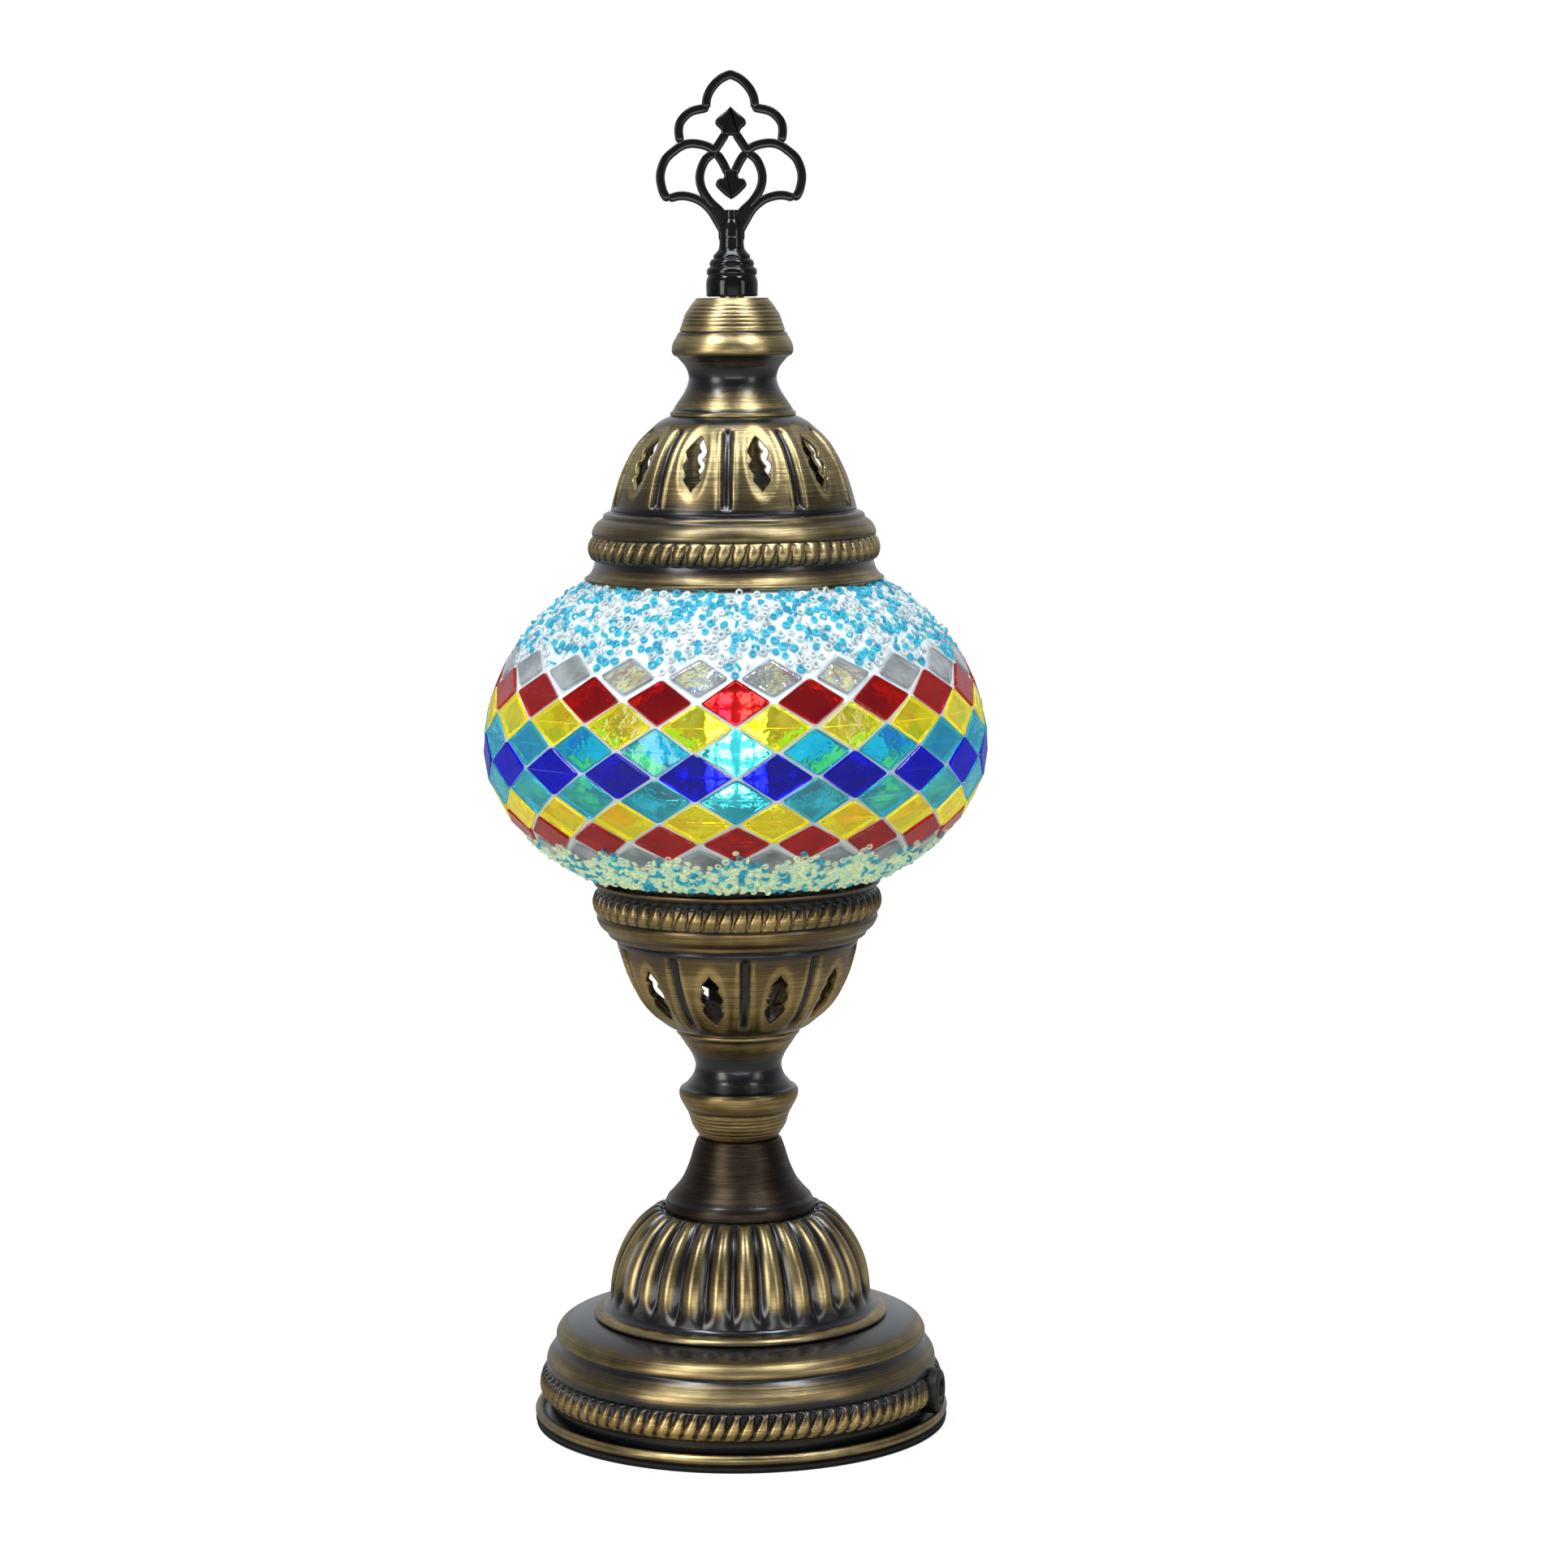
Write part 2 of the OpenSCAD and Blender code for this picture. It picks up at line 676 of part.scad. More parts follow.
cap_nuts();
clip_spider();
finial_collar();
finial_fret();
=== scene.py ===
import math
import random

import bmesh
import bpy
import numpy as np
from mathutils import Matrix, Vector


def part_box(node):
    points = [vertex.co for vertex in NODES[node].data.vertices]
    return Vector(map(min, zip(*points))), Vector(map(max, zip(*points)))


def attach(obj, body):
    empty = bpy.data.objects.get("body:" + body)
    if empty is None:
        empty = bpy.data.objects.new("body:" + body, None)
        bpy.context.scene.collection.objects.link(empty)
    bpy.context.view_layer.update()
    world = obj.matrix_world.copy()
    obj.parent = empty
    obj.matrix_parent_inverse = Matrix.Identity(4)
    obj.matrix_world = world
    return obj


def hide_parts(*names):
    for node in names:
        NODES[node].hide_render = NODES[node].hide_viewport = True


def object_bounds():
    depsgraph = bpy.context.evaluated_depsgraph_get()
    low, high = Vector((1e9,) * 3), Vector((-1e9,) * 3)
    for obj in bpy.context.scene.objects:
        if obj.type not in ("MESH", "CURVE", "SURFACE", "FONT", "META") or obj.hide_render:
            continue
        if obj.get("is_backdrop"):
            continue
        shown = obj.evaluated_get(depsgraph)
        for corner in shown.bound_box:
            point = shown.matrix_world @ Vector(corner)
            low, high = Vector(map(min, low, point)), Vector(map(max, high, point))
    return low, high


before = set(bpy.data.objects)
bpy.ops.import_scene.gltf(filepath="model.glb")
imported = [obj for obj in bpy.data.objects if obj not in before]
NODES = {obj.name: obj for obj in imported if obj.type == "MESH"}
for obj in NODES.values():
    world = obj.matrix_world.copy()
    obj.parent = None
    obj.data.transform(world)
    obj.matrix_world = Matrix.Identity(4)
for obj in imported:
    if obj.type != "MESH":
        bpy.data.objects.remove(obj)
cad_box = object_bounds()

MM = 0.001
TAU = 2 * math.pi
FRONT = -math.pi / 2        # the angle of the -Y side


def top_of(node):
    """The height of a CAD node's top, in millimetres."""
    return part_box(node)[1].z / MM


def foot_of(node):
    """The height of a CAD node's foot, in millimetres."""
    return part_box(node)[0].z / MM


# ---------------------------------------------------------------- outlines
def curve(points, steps):
    """A Catmull-Rom curve through points, as an array of (r, z)."""
    p = [points[0], *points, points[-1]]
    out = []
    for a, b, c, d in zip(p, p[1:], p[2:], p[3:]):
        a, b, c, d = (np.array(q, float) for q in (a, b, c, d))
        for t in np.arange(steps) / steps:
            out.append(0.5 * (2 * b + (c - a) * t + (2 * a - 5 * b + 4 * c - d) * t * t
                              + (3 * b - a - 3 * c + d) * t ** 3))
    out.append(np.array(points[-1], float))
    return np.array(out)


def joined(*parts):
    """Several outlines end to end."""
    return np.concatenate([np.array(p, float).reshape(-1, 2) for p in parts])


def beside(line, t):
    """The line moved by t to the left of its travel, at each point's mean direction."""
    ahead = np.gradient(line, axis=0)
    ahead /= np.maximum(np.linalg.norm(ahead, axis=1, keepdims=True), 1e-9)
    t = np.broadcast_to(t, len(line))[:, None]
    return line + t * np.stack([-ahead[:, 1], ahead[:, 0]], 1)


def sheet(line, wall):
    """An outline closed by its other face, which runs back a wall away with half as many points."""
    other = beside(line, wall)
    return joined(line, other[np.r_[len(other) - 1:0:-2, 0]])


def finer(line, gap):
    """The same line with more points, so that none lie further apart than gap."""
    out = [line[0]]
    for a, b in zip(line, line[1:]):
        n = max(1, math.ceil(np.linalg.norm(b - a) / gap))
        out += [a + (b - a) * k / n for k in range(1, n + 1)]
    return np.array(out)


def hung(line, z):
    """An outline turned upside down, so that its foot is at height z."""
    return np.stack([line[::-1, 0], z - line[::-1, 1]], 1)


def smoothstep(x, a, b):
    t = np.clip((x - a) / (b - a), 0, 1)
    return t * t * (3 - 2 * t)


# ---------------------------------------------------------------- meshes
def add_object(name, data):
    obj = bpy.data.objects.new(name, data)
    bpy.context.scene.collection.objects.link(obj)
    return obj


def make_object(name, verts, faces, body, material, patina=None, uvs=None, smooth=True, replaces=()):
    """A mesh piece in millimetres that rides on a body. A material is named by its finish, with a variant
    after a dot where there is one.
    """
    mesh = bpy.data.meshes.new(name)
    mesh.from_pydata((np.asarray(verts) * MM).tolist(), [], [list(map(int, f)) for f in faces])
    mesh.validate()
    if smooth:
        mesh.shade_smooth()
    if patina is not None:
        mesh.attributes.new("patina", "FLOAT", "POINT").data.foreach_set(
            "value", np.asarray(patina, np.float32))
    if uvs is not None:
        layer = mesh.uv_layers.new(name="UVMap")
        corners = np.array([uv for face in uvs for uv in face], np.float32)
        layer.data.foreach_set("uv", corners.ravel())
    obj = add_object(name, mesh)
    mesh.materials.append(material)
    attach(obj, body)
    if replaces:
        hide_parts(*replaces)
    return obj


def pierce(obj, cutter):
    """Cuts the cutter's shape out of a piece, then throws the cutter away."""
    cut = obj.modifiers.new("hole", "BOOLEAN")
    cut.object, cut.operation, cut.solver = cutter, "DIFFERENCE", "EXACT"
    graph = bpy.context.evaluated_depsgraph_get()
    graph.update()
    mesh = bpy.data.meshes.new_from_object(obj.evaluated_get(graph))
    obj.modifiers.clear()
    obj.data = mesh
    bpy.data.objects.remove(cutter)


def lathe(name, line, body, material, segments=256, shape=None, patina=None, **more):
    """A turned piece. shape(angle, r, z) adds to each radius; patina(angle, r, z) runs 0 to 1."""
    n = len(line)
    angle = np.arange(segments) * TAU / segments
    r = np.repeat(line[:, 0][:, None], segments, 1)
    z = np.repeat(line[:, 1][:, None], segments, 1)
    a = np.repeat(angle[None, :], n, 0)
    darkness = np.zeros_like(r) if patina is None else np.clip(patina(a, r, z), 0, 1)
    if shape is not None:
        r = r + shape(a, r, z)
    verts = np.stack([r * np.cos(a), r * np.sin(a), z], -1).reshape(-1, 3)
    length = np.concatenate([[0], np.cumsum(np.linalg.norm(np.diff(line, axis=0), axis=1))]) / 100
    faces, uvs = [], []
    for i in range(n):
        i2 = (i + 1) % n
        v1, v2 = length[i], length[i2] if i2 else length[i] + 0.001
        for j in range(segments):
            j2 = (j + 1) % segments
            u1, u2 = j / segments, (j + 1) / segments
            faces.append((i * segments + j, i * segments + j2, i2 * segments + j2, i2 * segments + j))
            uvs.append(((u1, v1), (u2, v1), (u2, v2), (u1, v2)))
    return make_object(name, verts, faces, body, material, darkness.reshape(-1), uvs, **more)


def shell(name, line, wall, body, material, **more):
    """A thin turned sheet under an outline that runs up the outside, so both its faces close."""
    return lathe(name, sheet(line, wall), body, material, **more)


def recalculate_normals(mesh, weld_within=0.0):
    """Turns every face outward, after joining corners that lie within a distance in metres."""
    bm = bmesh.new()
    bm.from_mesh(mesh)
    if weld_within:
        bmesh.ops.remove_doubles(bm, verts=bm.verts, dist=weld_within)
    bmesh.ops.recalc_face_normals(bm, faces=bm.faces)
    bm.to_mesh(mesh)
    bm.free()


def plate(outline, thick, bevel, steps=3):
    """A flat plate with rounded edges, as vertices (x, y, height) and faces.

    Its outline runs counter-clockwise."""
    p = np.asarray(outline, float)
    n = len(p)
    ahead = np.roll(p, -1, 0) - np.roll(p, 1, 0)
    ahead /= np.linalg.norm(ahead, axis=1, keepdims=True)
    inward = np.stack([-ahead[:, 1], ahead[:, 0]], 1)
    rings = [(bevel + 0.1, 0)]
    for k in range(steps + 1):
        a = k / steps * math.pi / 2
        rings.append((bevel * (1 - math.sin(a)), bevel * (1 - math.cos(a))))
    rings += [(inset, thick - h) for inset, h in reversed(rings)]
    verts = np.concatenate([np.column_stack([p + inward * inset, np.full(n, h)]) for inset, h in rings])
    faces = [[k * n + i, k * n + (i + 1) % n, (k + 1) * n + (i + 1) % n, (k + 1) * n + i]
             for k in range(len(rings) - 1) for i in range(n)]
    faces.append(list(reversed(range(n))))
    faces.append([(len(rings) - 1) * n + i for i in range(n)])
    return verts, faces


class Heap:
    """Collects many small meshes into one piece."""

    def __init__(self):
        self.verts, self.faces, self.count = [], [], 0

    def add(self, verts, faces):
        self.verts.append(np.asarray(verts, float))
        self.faces += [[v + self.count for v in f] for f in faces]
        self.count += len(verts)

    def make(self, name, body, material, **more):
        return make_object(name, np.concatenate(self.verts), self.faces, body, material, **more)


# ---------------------------------------------------------------- materials
class Nodes:
    """A short way to write a node tree."""

    def __init__(self, name):
        self.material = bpy.data.materials.new(name)
        self.material.use_nodes = True
        self.tree = self.material.node_tree
        self.shader = self.tree.nodes["Principled BSDF"]
        self.output = self.tree.nodes["Material Output"]

    @classmethod
    def of(cls, tree):
        nodes = cls.__new__(cls)
        nodes.tree = tree
        return nodes

    def add(self, kind, inputs=None, **settings):
        node = self.tree.nodes.new("ShaderNode" + kind)
        for key, value in settings.items():
            setattr(node, key, value)
        for key, value in (inputs or {}).items():
            self.set(node.inputs[key], value)
        return node

    def set(self, socket, value):
        if isinstance(value, bpy.types.NodeSocket):
            self.tree.links.new(value, socket)
        else:
            socket.default_value = value

    def shade(self, **inputs):
        for key, value in inputs.items():
            self.set(self.shader.inputs[key.replace("_", " ")], value)

    def mix(self, factor, a, b):
        node = self.add("Mix", data_type="RGBA")
        self.set(node.inputs[0], factor)
        self.set(node.inputs[6], a)
        self.set(node.inputs[7], b)
        return node.outputs[2]

    def math(self, operation, a, b=0.0, clamp=False):
        node = self.add("Math", operation=operation, use_clamp=clamp)
        self.set(node.inputs[0], a)
        self.set(node.inputs[1], b)
        return node.outputs[0]

    def remap(self, value, low, high, to_low=0.0, to_high=1.0):
        return self.add("MapRange", {"Value": value, "From Min": low, "From Max": high,
                                     "To Min": to_low, "To Max": to_high}).outputs[0]

    def noise(self, scale, detail=2.0, vector=None, rough=0.5):
        node = self.add("TexNoise", {"Scale": scale, "Detail": detail, "Roughness": rough})
        self.set(node.inputs["Vector"], vector or self.place())
        return node.outputs["Fac"]

    def place(self, stretch=(1, 1, 1), source="Object"):
        coords = self.add("TexCoord").outputs[source]
        return self.add("Mapping", {"Vector": coords, "Scale": stretch}).outputs[0]

    def bump(self, height, strength, distance):
        return self.add("Bump", {"Height": height, "Strength": strength,
                                 "Distance": distance}).outputs[0]


def rgb(r, g, b):
    return (r, g, b, 1)


def aged_brass(name, gold, bronze, black, amount=0.0, rough=0.27, brush=1.0):
    """Brushed brass under a dark patina that is rubbed off the high places.

    The attribute says where the patina lies, and on the rope bands it carries painted shade too: 0 is
    rubbed bright, 1 is black."""
    n = Nodes(name)
    lines = n.noise(1.0, 3.0, n.place((5, 230, 1), "UV"), 0.65)
    hairs = n.noise(1.0, 2.0, n.place((22, 760, 1), "UV"), 0.7)
    cloud = n.noise(42.0, 4.0)
    patches = n.noise(230.0, 3.0)
    darkness = n.add("Attribute", attribute_name="patina").outputs["Fac"]
    wear_and_shade = n.math("ADD", darkness, n.remap(cloud, 0.3, 0.72, 0.12 + amount, 0.56 + amount))
    wear_and_shade = n.math("ADD", wear_and_shade, n.remap(lines, 0.3, 0.7, -0.2 * brush, 0.2 * brush))
    wear_and_shade = n.math("ADD", wear_and_shade, n.remap(hairs, 0.3, 0.7, -0.09 * brush, 0.09 * brush))
    wear_and_shade = n.math("ADD", wear_and_shade, n.remap(patches, 0.35, 0.75, -0.05, 0.08), clamp=True)
    light = n.mix(n.remap(wear_and_shade, 0.0, 0.5), gold, bronze)
    colour = n.mix(n.remap(wear_and_shade, 0.5, 1.0), light, black)
    height = n.math("ADD", lines, n.math("MULTIPLY", hairs, 0.5))
    n.shade(Base_Color=colour, Metallic=n.remap(wear_and_shade, 0.6, 1.0, 1.0, 0.55),
            Roughness=n.remap(wear_and_shade, 0.0, 1.0, rough + 0.06, rough),
            Coat_Weight=n.remap(wear_and_shade, 0.45, 1.0, 0.0, 0.75), Normal=n.bump(height, 0.3 * brush, 0.00022))
    n.shader.inputs["Coat Roughness"].default_value = 0.2
    return n.material


def black_enamel(name):
    n = Nodes(name)
    soft = n.noise(60.0, 2.0)
    n.shade(Base_Color=n.mix(soft, rgb(0.002, 0.0024, 0.0024), rgb(0.006, 0.007, 0.007)),
            Roughness=n.remap(soft, 0.3, 0.7, 0.13, 0.19), Normal=n.bump(soft, 0.08, 0.0002))
    n.shader.inputs["Specular IOR Level"].default_value = 0.35
    return n.material


def moulded(name, colour, rough, grain=600.0):
    n = Nodes(name)
    fine = n.noise(grain, 3.0)
    broad = n.noise(40.0, 2.0)
    shade = rgb(*(0.8 * c for c in colour))
    n.shade(Base_Color=n.mix(broad, shade, rgb(*colour)),
            Roughness=n.remap(fine, 0.3, 0.7, rough, rough + 0.15), Normal=n.bump(fine, 0.2, 0.0001))
    return n.material


def plated(name, colour, rough=0.25):
    n = Nodes(name)
    fine = n.noise(900.0, 2.0)
    broad = n.noise(70.0, 3.0)
    shade = rgb(*(0.7 * c for c in colour))
    n.shade(Base_Color=n.mix(broad, shade, rgb(*colour)), Metallic=1.0,
            Roughness=n.remap(fine, 0.3, 0.7, rough, rough + 0.15), Normal=n.bump(fine, 0.15, 0.0001))
    return n.material


def tile_glass(name, tint, body, clear, ripple=0.5, painted_glow=0.0):
    """Hand-cut sheet glass: tinted all through and rippled, with a little painted glow, an emission in its
    tint that stands in for the bulb's light.
    """
    n = Nodes(name)
    wave = n.noise(330.0, 2.0)
    broad = n.noise(120.0, 2.0)
    height = n.math("ADD", broad, n.math("MULTIPLY", wave, 0.5))
    n.shade(Base_Color=n.mix(n.remap(broad, 0.35, 0.7), tint, body), Roughness=0.04, IOR=1.45,
            Emission_Color=tint, Emission_Strength=painted_glow, Normal=n.bump(height, ripple, 0.0012))
    n.shader.inputs["Transmission Weight"].default_value = clear
    n.shader.inputs["Specular IOR Level"].default_value = 0.15
    return n.material


def clear_sheet(name, tint=(0.97, 0.985, 0.99), gloss=0.08):
    """Thin clear glass: light goes straight through, and its face mirrors a little."""
    n = Nodes(name)
    through = n.add("BsdfTransparent", {"Color": rgb(*tint)}).outputs[0]
    mirror = n.add("BsdfGlossy", {"Roughness": 0.03}).outputs[0]
    edge = n.add("Fresnel", {"IOR": 1.35}).outputs[0]
    both = n.add("MixShader")
    n.set(both.inputs[0], n.math("ADD", n.math("MULTIPLY", edge, 0.6), gloss * 0.2, clamp=True))
    n.set(both.inputs[1], through)
    n.set(both.inputs[2], mirror)
    n.set(n.output.inputs["Surface"], both.outputs[0])
    n.tree.nodes.remove(n.shader)
    return n.material


def grout_paste(name):
    n = Nodes(name)
    grain = n.noise(900.0, 4.0)
    broad = n.noise(90.0, 3.0)
    n.shade(Base_Color=n.mix(broad, rgb(0.7, 0.77, 0.79), rgb(0.82, 0.88, 0.9)), Roughness=0.6,
            Normal=n.bump(grain, 0.35, 0.0004))
    n.shader.inputs["Subsurface Weight"].default_value = 0.35
    n.shader.inputs["Subsurface Radius"].default_value = (0.004, 0.004, 0.004)
    return n.material


def bead_glass(name, tint, body, clear, painted_glow=0.0):
    # the emission is a painted glow in the bead's tint that stands in for the bulb's light
    n = Nodes(name)
    broad = n.noise(420.0, 2.0)
    n.shade(Base_Color=n.mix(n.remap(broad, 0.4, 0.6), tint, body), Roughness=0.08, IOR=1.45,
            Emission_Color=tint, Emission_Strength=painted_glow)
    n.shader.inputs["Transmission Weight"].default_value = clear
    n.shader.inputs["Coat Weight"].default_value = 0.4
    return n.material


def lit_phosphor(name, strength):
    """A lit chip: it shows white hot through the glass."""
    n = Nodes(name)
    grain = n.noise(1500.0, 2.0)
    n.shade(Base_Color=n.mix(grain, rgb(1, 0.93, 0.7), rgb(1, 0.97, 0.85)),
            Emission_Color=n.mix(grain, rgb(1, 0.94, 0.82), rgb(1, 0.98, 0.9)))
    n.shader.inputs["Emission Strength"].default_value = strength
    return n.material


GOLD, BRONZE, BLACK = rgb(0.66, 0.515, 0.25), rgb(0.19, 0.142, 0.07), rgb(0.007, 0.007, 0.01)
BRASS = aged_brass("aged_brass", GOLD, BRONZE, BLACK, -0.09)
SMOOTH_BRASS = aged_brass("aged_brass.smooth", GOLD, BRONZE, BLACK, -0.04, 0.27, 0.35)
BASE_BRASS = aged_brass("aged_brass.base", rgb(0.5, 0.38, 0.185), BRONZE, BLACK, -0.02)
WARM_BRASS = aged_brass("aged_brass.warm", rgb(0.62, 0.445, 0.185), rgb(0.19, 0.132, 0.056), BLACK, -0.1)
TURNED_BRASS = {"cap": BRASS, "base": WARM_BRASS}
BELL_BRASS = aged_brass("dark_brass", rgb(0.1, 0.072, 0.045), rgb(0.03, 0.023, 0.017), BLACK, 0.12, 0.33)
ENAMEL = black_enamel("black_metal")
STEEL = plated("plated_steel", (0.66, 0.67, 0.68))
SPRING = plated("spring_steel", (0.32, 0.34, 0.38), 0.3)
CONTACT = plated("contact_brass", (0.75, 0.55, 0.25))
BLACK_PLASTIC = moulded("black_plastic", (0.004, 0.004, 0.0045), 0.4)
WHITE_PLASTIC = moulded("white_plastic", (0.85, 0.84, 0.8), 0.35)
RUBBER = moulded("rubber", (0.025, 0.025, 0.025), 0.6)
FELT = moulded("felt", (0.02, 0.02, 0.021), 0.9, 1500.0)
BROWN_LEAD = moulded("brown_lead", (0.2, 0.08, 0.03), 0.35)
BLUE_LEAD = moulded("blue_lead", (0.05, 0.16, 0.45), 0.35)
GLOBE_GLASS = clear_sheet("globe_glass")
BULB_COVER = clear_sheet("bulb_cover", (0.96, 0.97, 0.97), 0.2)
GROUT = grout_paste("grout")
# the last number of each coloured tile glass and of each bead glass is its painted glow
CLEAR = tile_glass("clear_glass", rgb(0.8, 0.85, 0.89), rgb(0.42, 0.45, 0.5), 0.78, 0.5)
RED = tile_glass("red_glass", rgb(0.58, 0.009, 0.006), rgb(0.42, 0.002, 0.01), 0.92, 0.15, 0.07)
YELLOW = tile_glass("yellow_glass", rgb(0.98, 0.88, 0.04), rgb(0.95, 0.75, 0.01), 0.96, 0.2, 0.11)
TURQUOISE = tile_glass("turquoise_glass", rgb(0.08, 0.66, 0.8), rgb(0.03, 0.5, 0.66), 0.96, 0.16, 0.06)
NAVY = tile_glass("navy_glass", rgb(0.002, 0.004, 0.75), rgb(0.001, 0.002, 0.5), 0.96, 0.14, 0.1)
BEAD_BLUE = bead_glass("bead_glass.blue", rgb(0.06, 0.68, 0.84), rgb(0.005, 0.4, 0.6), 0.6, 0.05)
BEAD_CLEAR = bead_glass("bead_glass.clear", rgb(0.88, 0.94, 0.95), rgb(0.5, 0.62, 0.66), 0.3, 0.03)
BEAD_PALE = bead_glass("bead_glass.pale", rgb(0.93, 0.97, 0.66), rgb(0.6, 0.9, 0.76), 0.45, 0.08)
PHOSPHOR = lit_phosphor("led_light", 42.0)
BOARD = moulded("led_board", (0.16, 0.155, 0.14), 0.4)


# ---------------------------------------------------------------- the pierced cups
SHEET = 0.8         # wall of the cups, necks, end cups, bell and dome
BASE_SHEET = 0.85
ROPE_WALL = 2.0
GROOVE_DEPTH = 1.15
DISH_DEPTH = 0.5
CUP_ROPES, BASE_ROPES = 60, 90      # ridges round a rope band
CUP_LINE = joined(
    curve([(15.5, 0), (18.9, 1.9), (24.2, 7.2), (27.9, 14.2), (30.3, 22.4)], 9),
    curve([(30.4, 22.9), (30.3, 23.3), (31.2, 23.5), (32.2, 24.1), (32.4, 25.0)], 4),
    curve([(32.9, 25.3), (34.2, 26.4), (35.1, 28.2), (35.0, 29.2)], 4),
    curve([(34.6, 29.6), (35.1, 30.4), (35.2, 32.2), (34.9, 34.0), (34.5, 34.9)], 4))
CAP_FLANGE = curve([(34.5, 35.6), (34.7, 36.4), (35.2, 37.8), (36.1, 39.0), (37.0, 39.6), (37.1, 39.9)], 4)
CUP_RIM = curve([(34.6, 35.6), (35.0, 36.3), (35.6, 36.9), (35.9, 37.4), (35.8, 37.8)], 4)
LEAF_COUNT = 10
LEAF_SIZE = (5.6, 13.4)
LEAF_MID = 10.9
LEAF_HALF = [(0, 0.5), (0.16, 0.41), (0.34, 0.33), (0.40, 0.27), (0.30, 0.21), (0.42, 0.13),
             (0.50, 0.05), (0.46, -0.03), (0.33, -0.08), (0.44, -0.15), (0.47, -0.23), (0.36, -0.32),
             (0.18, -0.42), (0, -0.5)]
# where patina gathers on a cup: height, half width, strength
CUP_DIRT = [(22.9, 0.9, 0.9), (25.2, 0.5, 0.35), (29.4, 0.6, 0.5), (35.6, 1.3, 0.9), (0.4, 1.4, 0.8),
            (20.5, 2.5, 0.3)]


def turned_to(angle, centre, count):
    """How far an angle is from the nearest of count places round the circle, in radians."""
    step = TAU / count
    return (angle - centre + step / 2) % step - step / 2


def pierced_cup(name, rim, floor_z, turn, upside_down, hole_r, body, node):
    """A stamped cup with pressed grooves and pierced leaves, its floor at floor_z."""
    sign = -1 if upside_down else 1
    centre = FRONT + math.radians(turn)
    outer = finer(joined([(hole_r, 0), (15.2, 0)], CUP_LINE, rim), 0.55)
    line = sheet(outer, SHEET)
    height = line[:, 1]
    groove_centre = centre + math.pi / LEAF_COUNT

    def off_groove(a, r):
        return np.abs(turned_to(a, groove_centre, LEAF_COUNT)) * r

    def along_groove(h):
        return smoothstep(h, 2.2, 4.2) * (1 - smoothstep(h, 20.6, 22.4))

    def leaf_reach(a, r, h):
        across = turned_to(a, centre, LEAF_COUNT) * r / (LEAF_SIZE[0] * 0.5)
        up = (h - LEAF_MID) / (LEAF_SIZE[1] * 0.5)
        return np.sqrt(across ** 2 + up ** 2)

    def shape(a, r, h):
        off = off_groove(a, r)
        press = GROOVE_DEPTH * np.exp(-(off / 1.2) ** 4) - 0.3 * np.exp(-((off - 1.95) / 0.5) ** 2)
        dish = DISH_DEPTH * (1 - smoothstep(leaf_reach(a, r, h), 0.9, 1.5))
        return -press * along_groove(h) - dish

    def patina(a, r, h):
        off, reach = off_groove(a, r), leaf_reach(a, r, h)
        dark = 1.0 * np.exp(-(off / 0.95) ** 4) * along_groove(h)
        dark -= 0.4 * np.exp(-((off - 1.9) / 0.55) ** 2) * along_groove(h)
        dark += 0.45 * (1 - smoothstep(reach, 0.8, 0.95)) - 0.4 * np.exp(-((reach - 1.22) / 0.2) ** 2)
        for z0, width, strength in CUP_DIRT:
            dark += strength * np.exp(-((h - z0) / width) ** 2)
        inside = r < np.interp(h, outer[:, 1], outer[:, 0]) - 0.5
        return np.where(inside, 0.55, dark + 0.2)

    cup = lathe(name, line, body, TURNED_BRASS[body], 380, shape, patina, replaces=[node])
    cup.data.transform(Matrix.Translation((0, 0, floor_z * MM)) @ Matrix.Diagonal((1, 1, sign, 1)))
    if upside_down:
        cup.data.flip_normals()
    pierce(cup, leaf_cutters(centre, floor_z, sign))
    rope = curve([(34.3, 29.3), (35.1, 29.6), (35.9, 30.9), (36.2, 32.4), (35.9, 34.0), (35.3, 35.0),
                  (34.5, 35.4)], 5)
    rope[:, 1] = floor_z + sign * rope[:, 1]
    rope_band(name.replace("_shell", "_rope"), CUP_ROPES, rope, floor_z + sign * 29.6,
              floor_z + sign * 35.2, body, lean=0.35)


def leaf_cutters(centre, floor_z, sign):
    """Ten leaf-shaped prisms in one mesh, used to pierce a cup and then thrown away."""
    half = np.array(LEAF_HALF)
    side = curve([tuple(p) for p in half], 3) * LEAF_SIZE
    outline = np.concatenate([side, (side * (-1, 1))[-2:0:-1]])
    verts, faces = [], []
    n = len(outline)
    for k in range(LEAF_COUNT):
        a = centre + k * TAU / LEAF_COUNT
        out, across = np.array([math.cos(a), math.sin(a), 0]), np.array([-math.sin(a), math.cos(a), 0])
        first = len(verts)
        for depth in (14.0, 40.0):
            for x, y in outline:
                verts.append(out * depth + across * x + (0, 0, floor_z + sign * (LEAF_MID + y)))
        faces.append([first + i for i in range(n)])
        faces.append([first + n + i for i in reversed(range(n))])
        faces += [[first + i, first + n + i, first + n + (i + 1) % n, first + (i + 1) % n]
                  for i in range(n)]
    mesh = bpy.data.meshes.new("leaf_cutters")
    mesh.from_pydata((np.array(verts) * MM).tolist(), [], faces)
    mesh.validate()
    obj = add_object("leaf_cutters", mesh)
    recalculate_normals(mesh)
    return obj


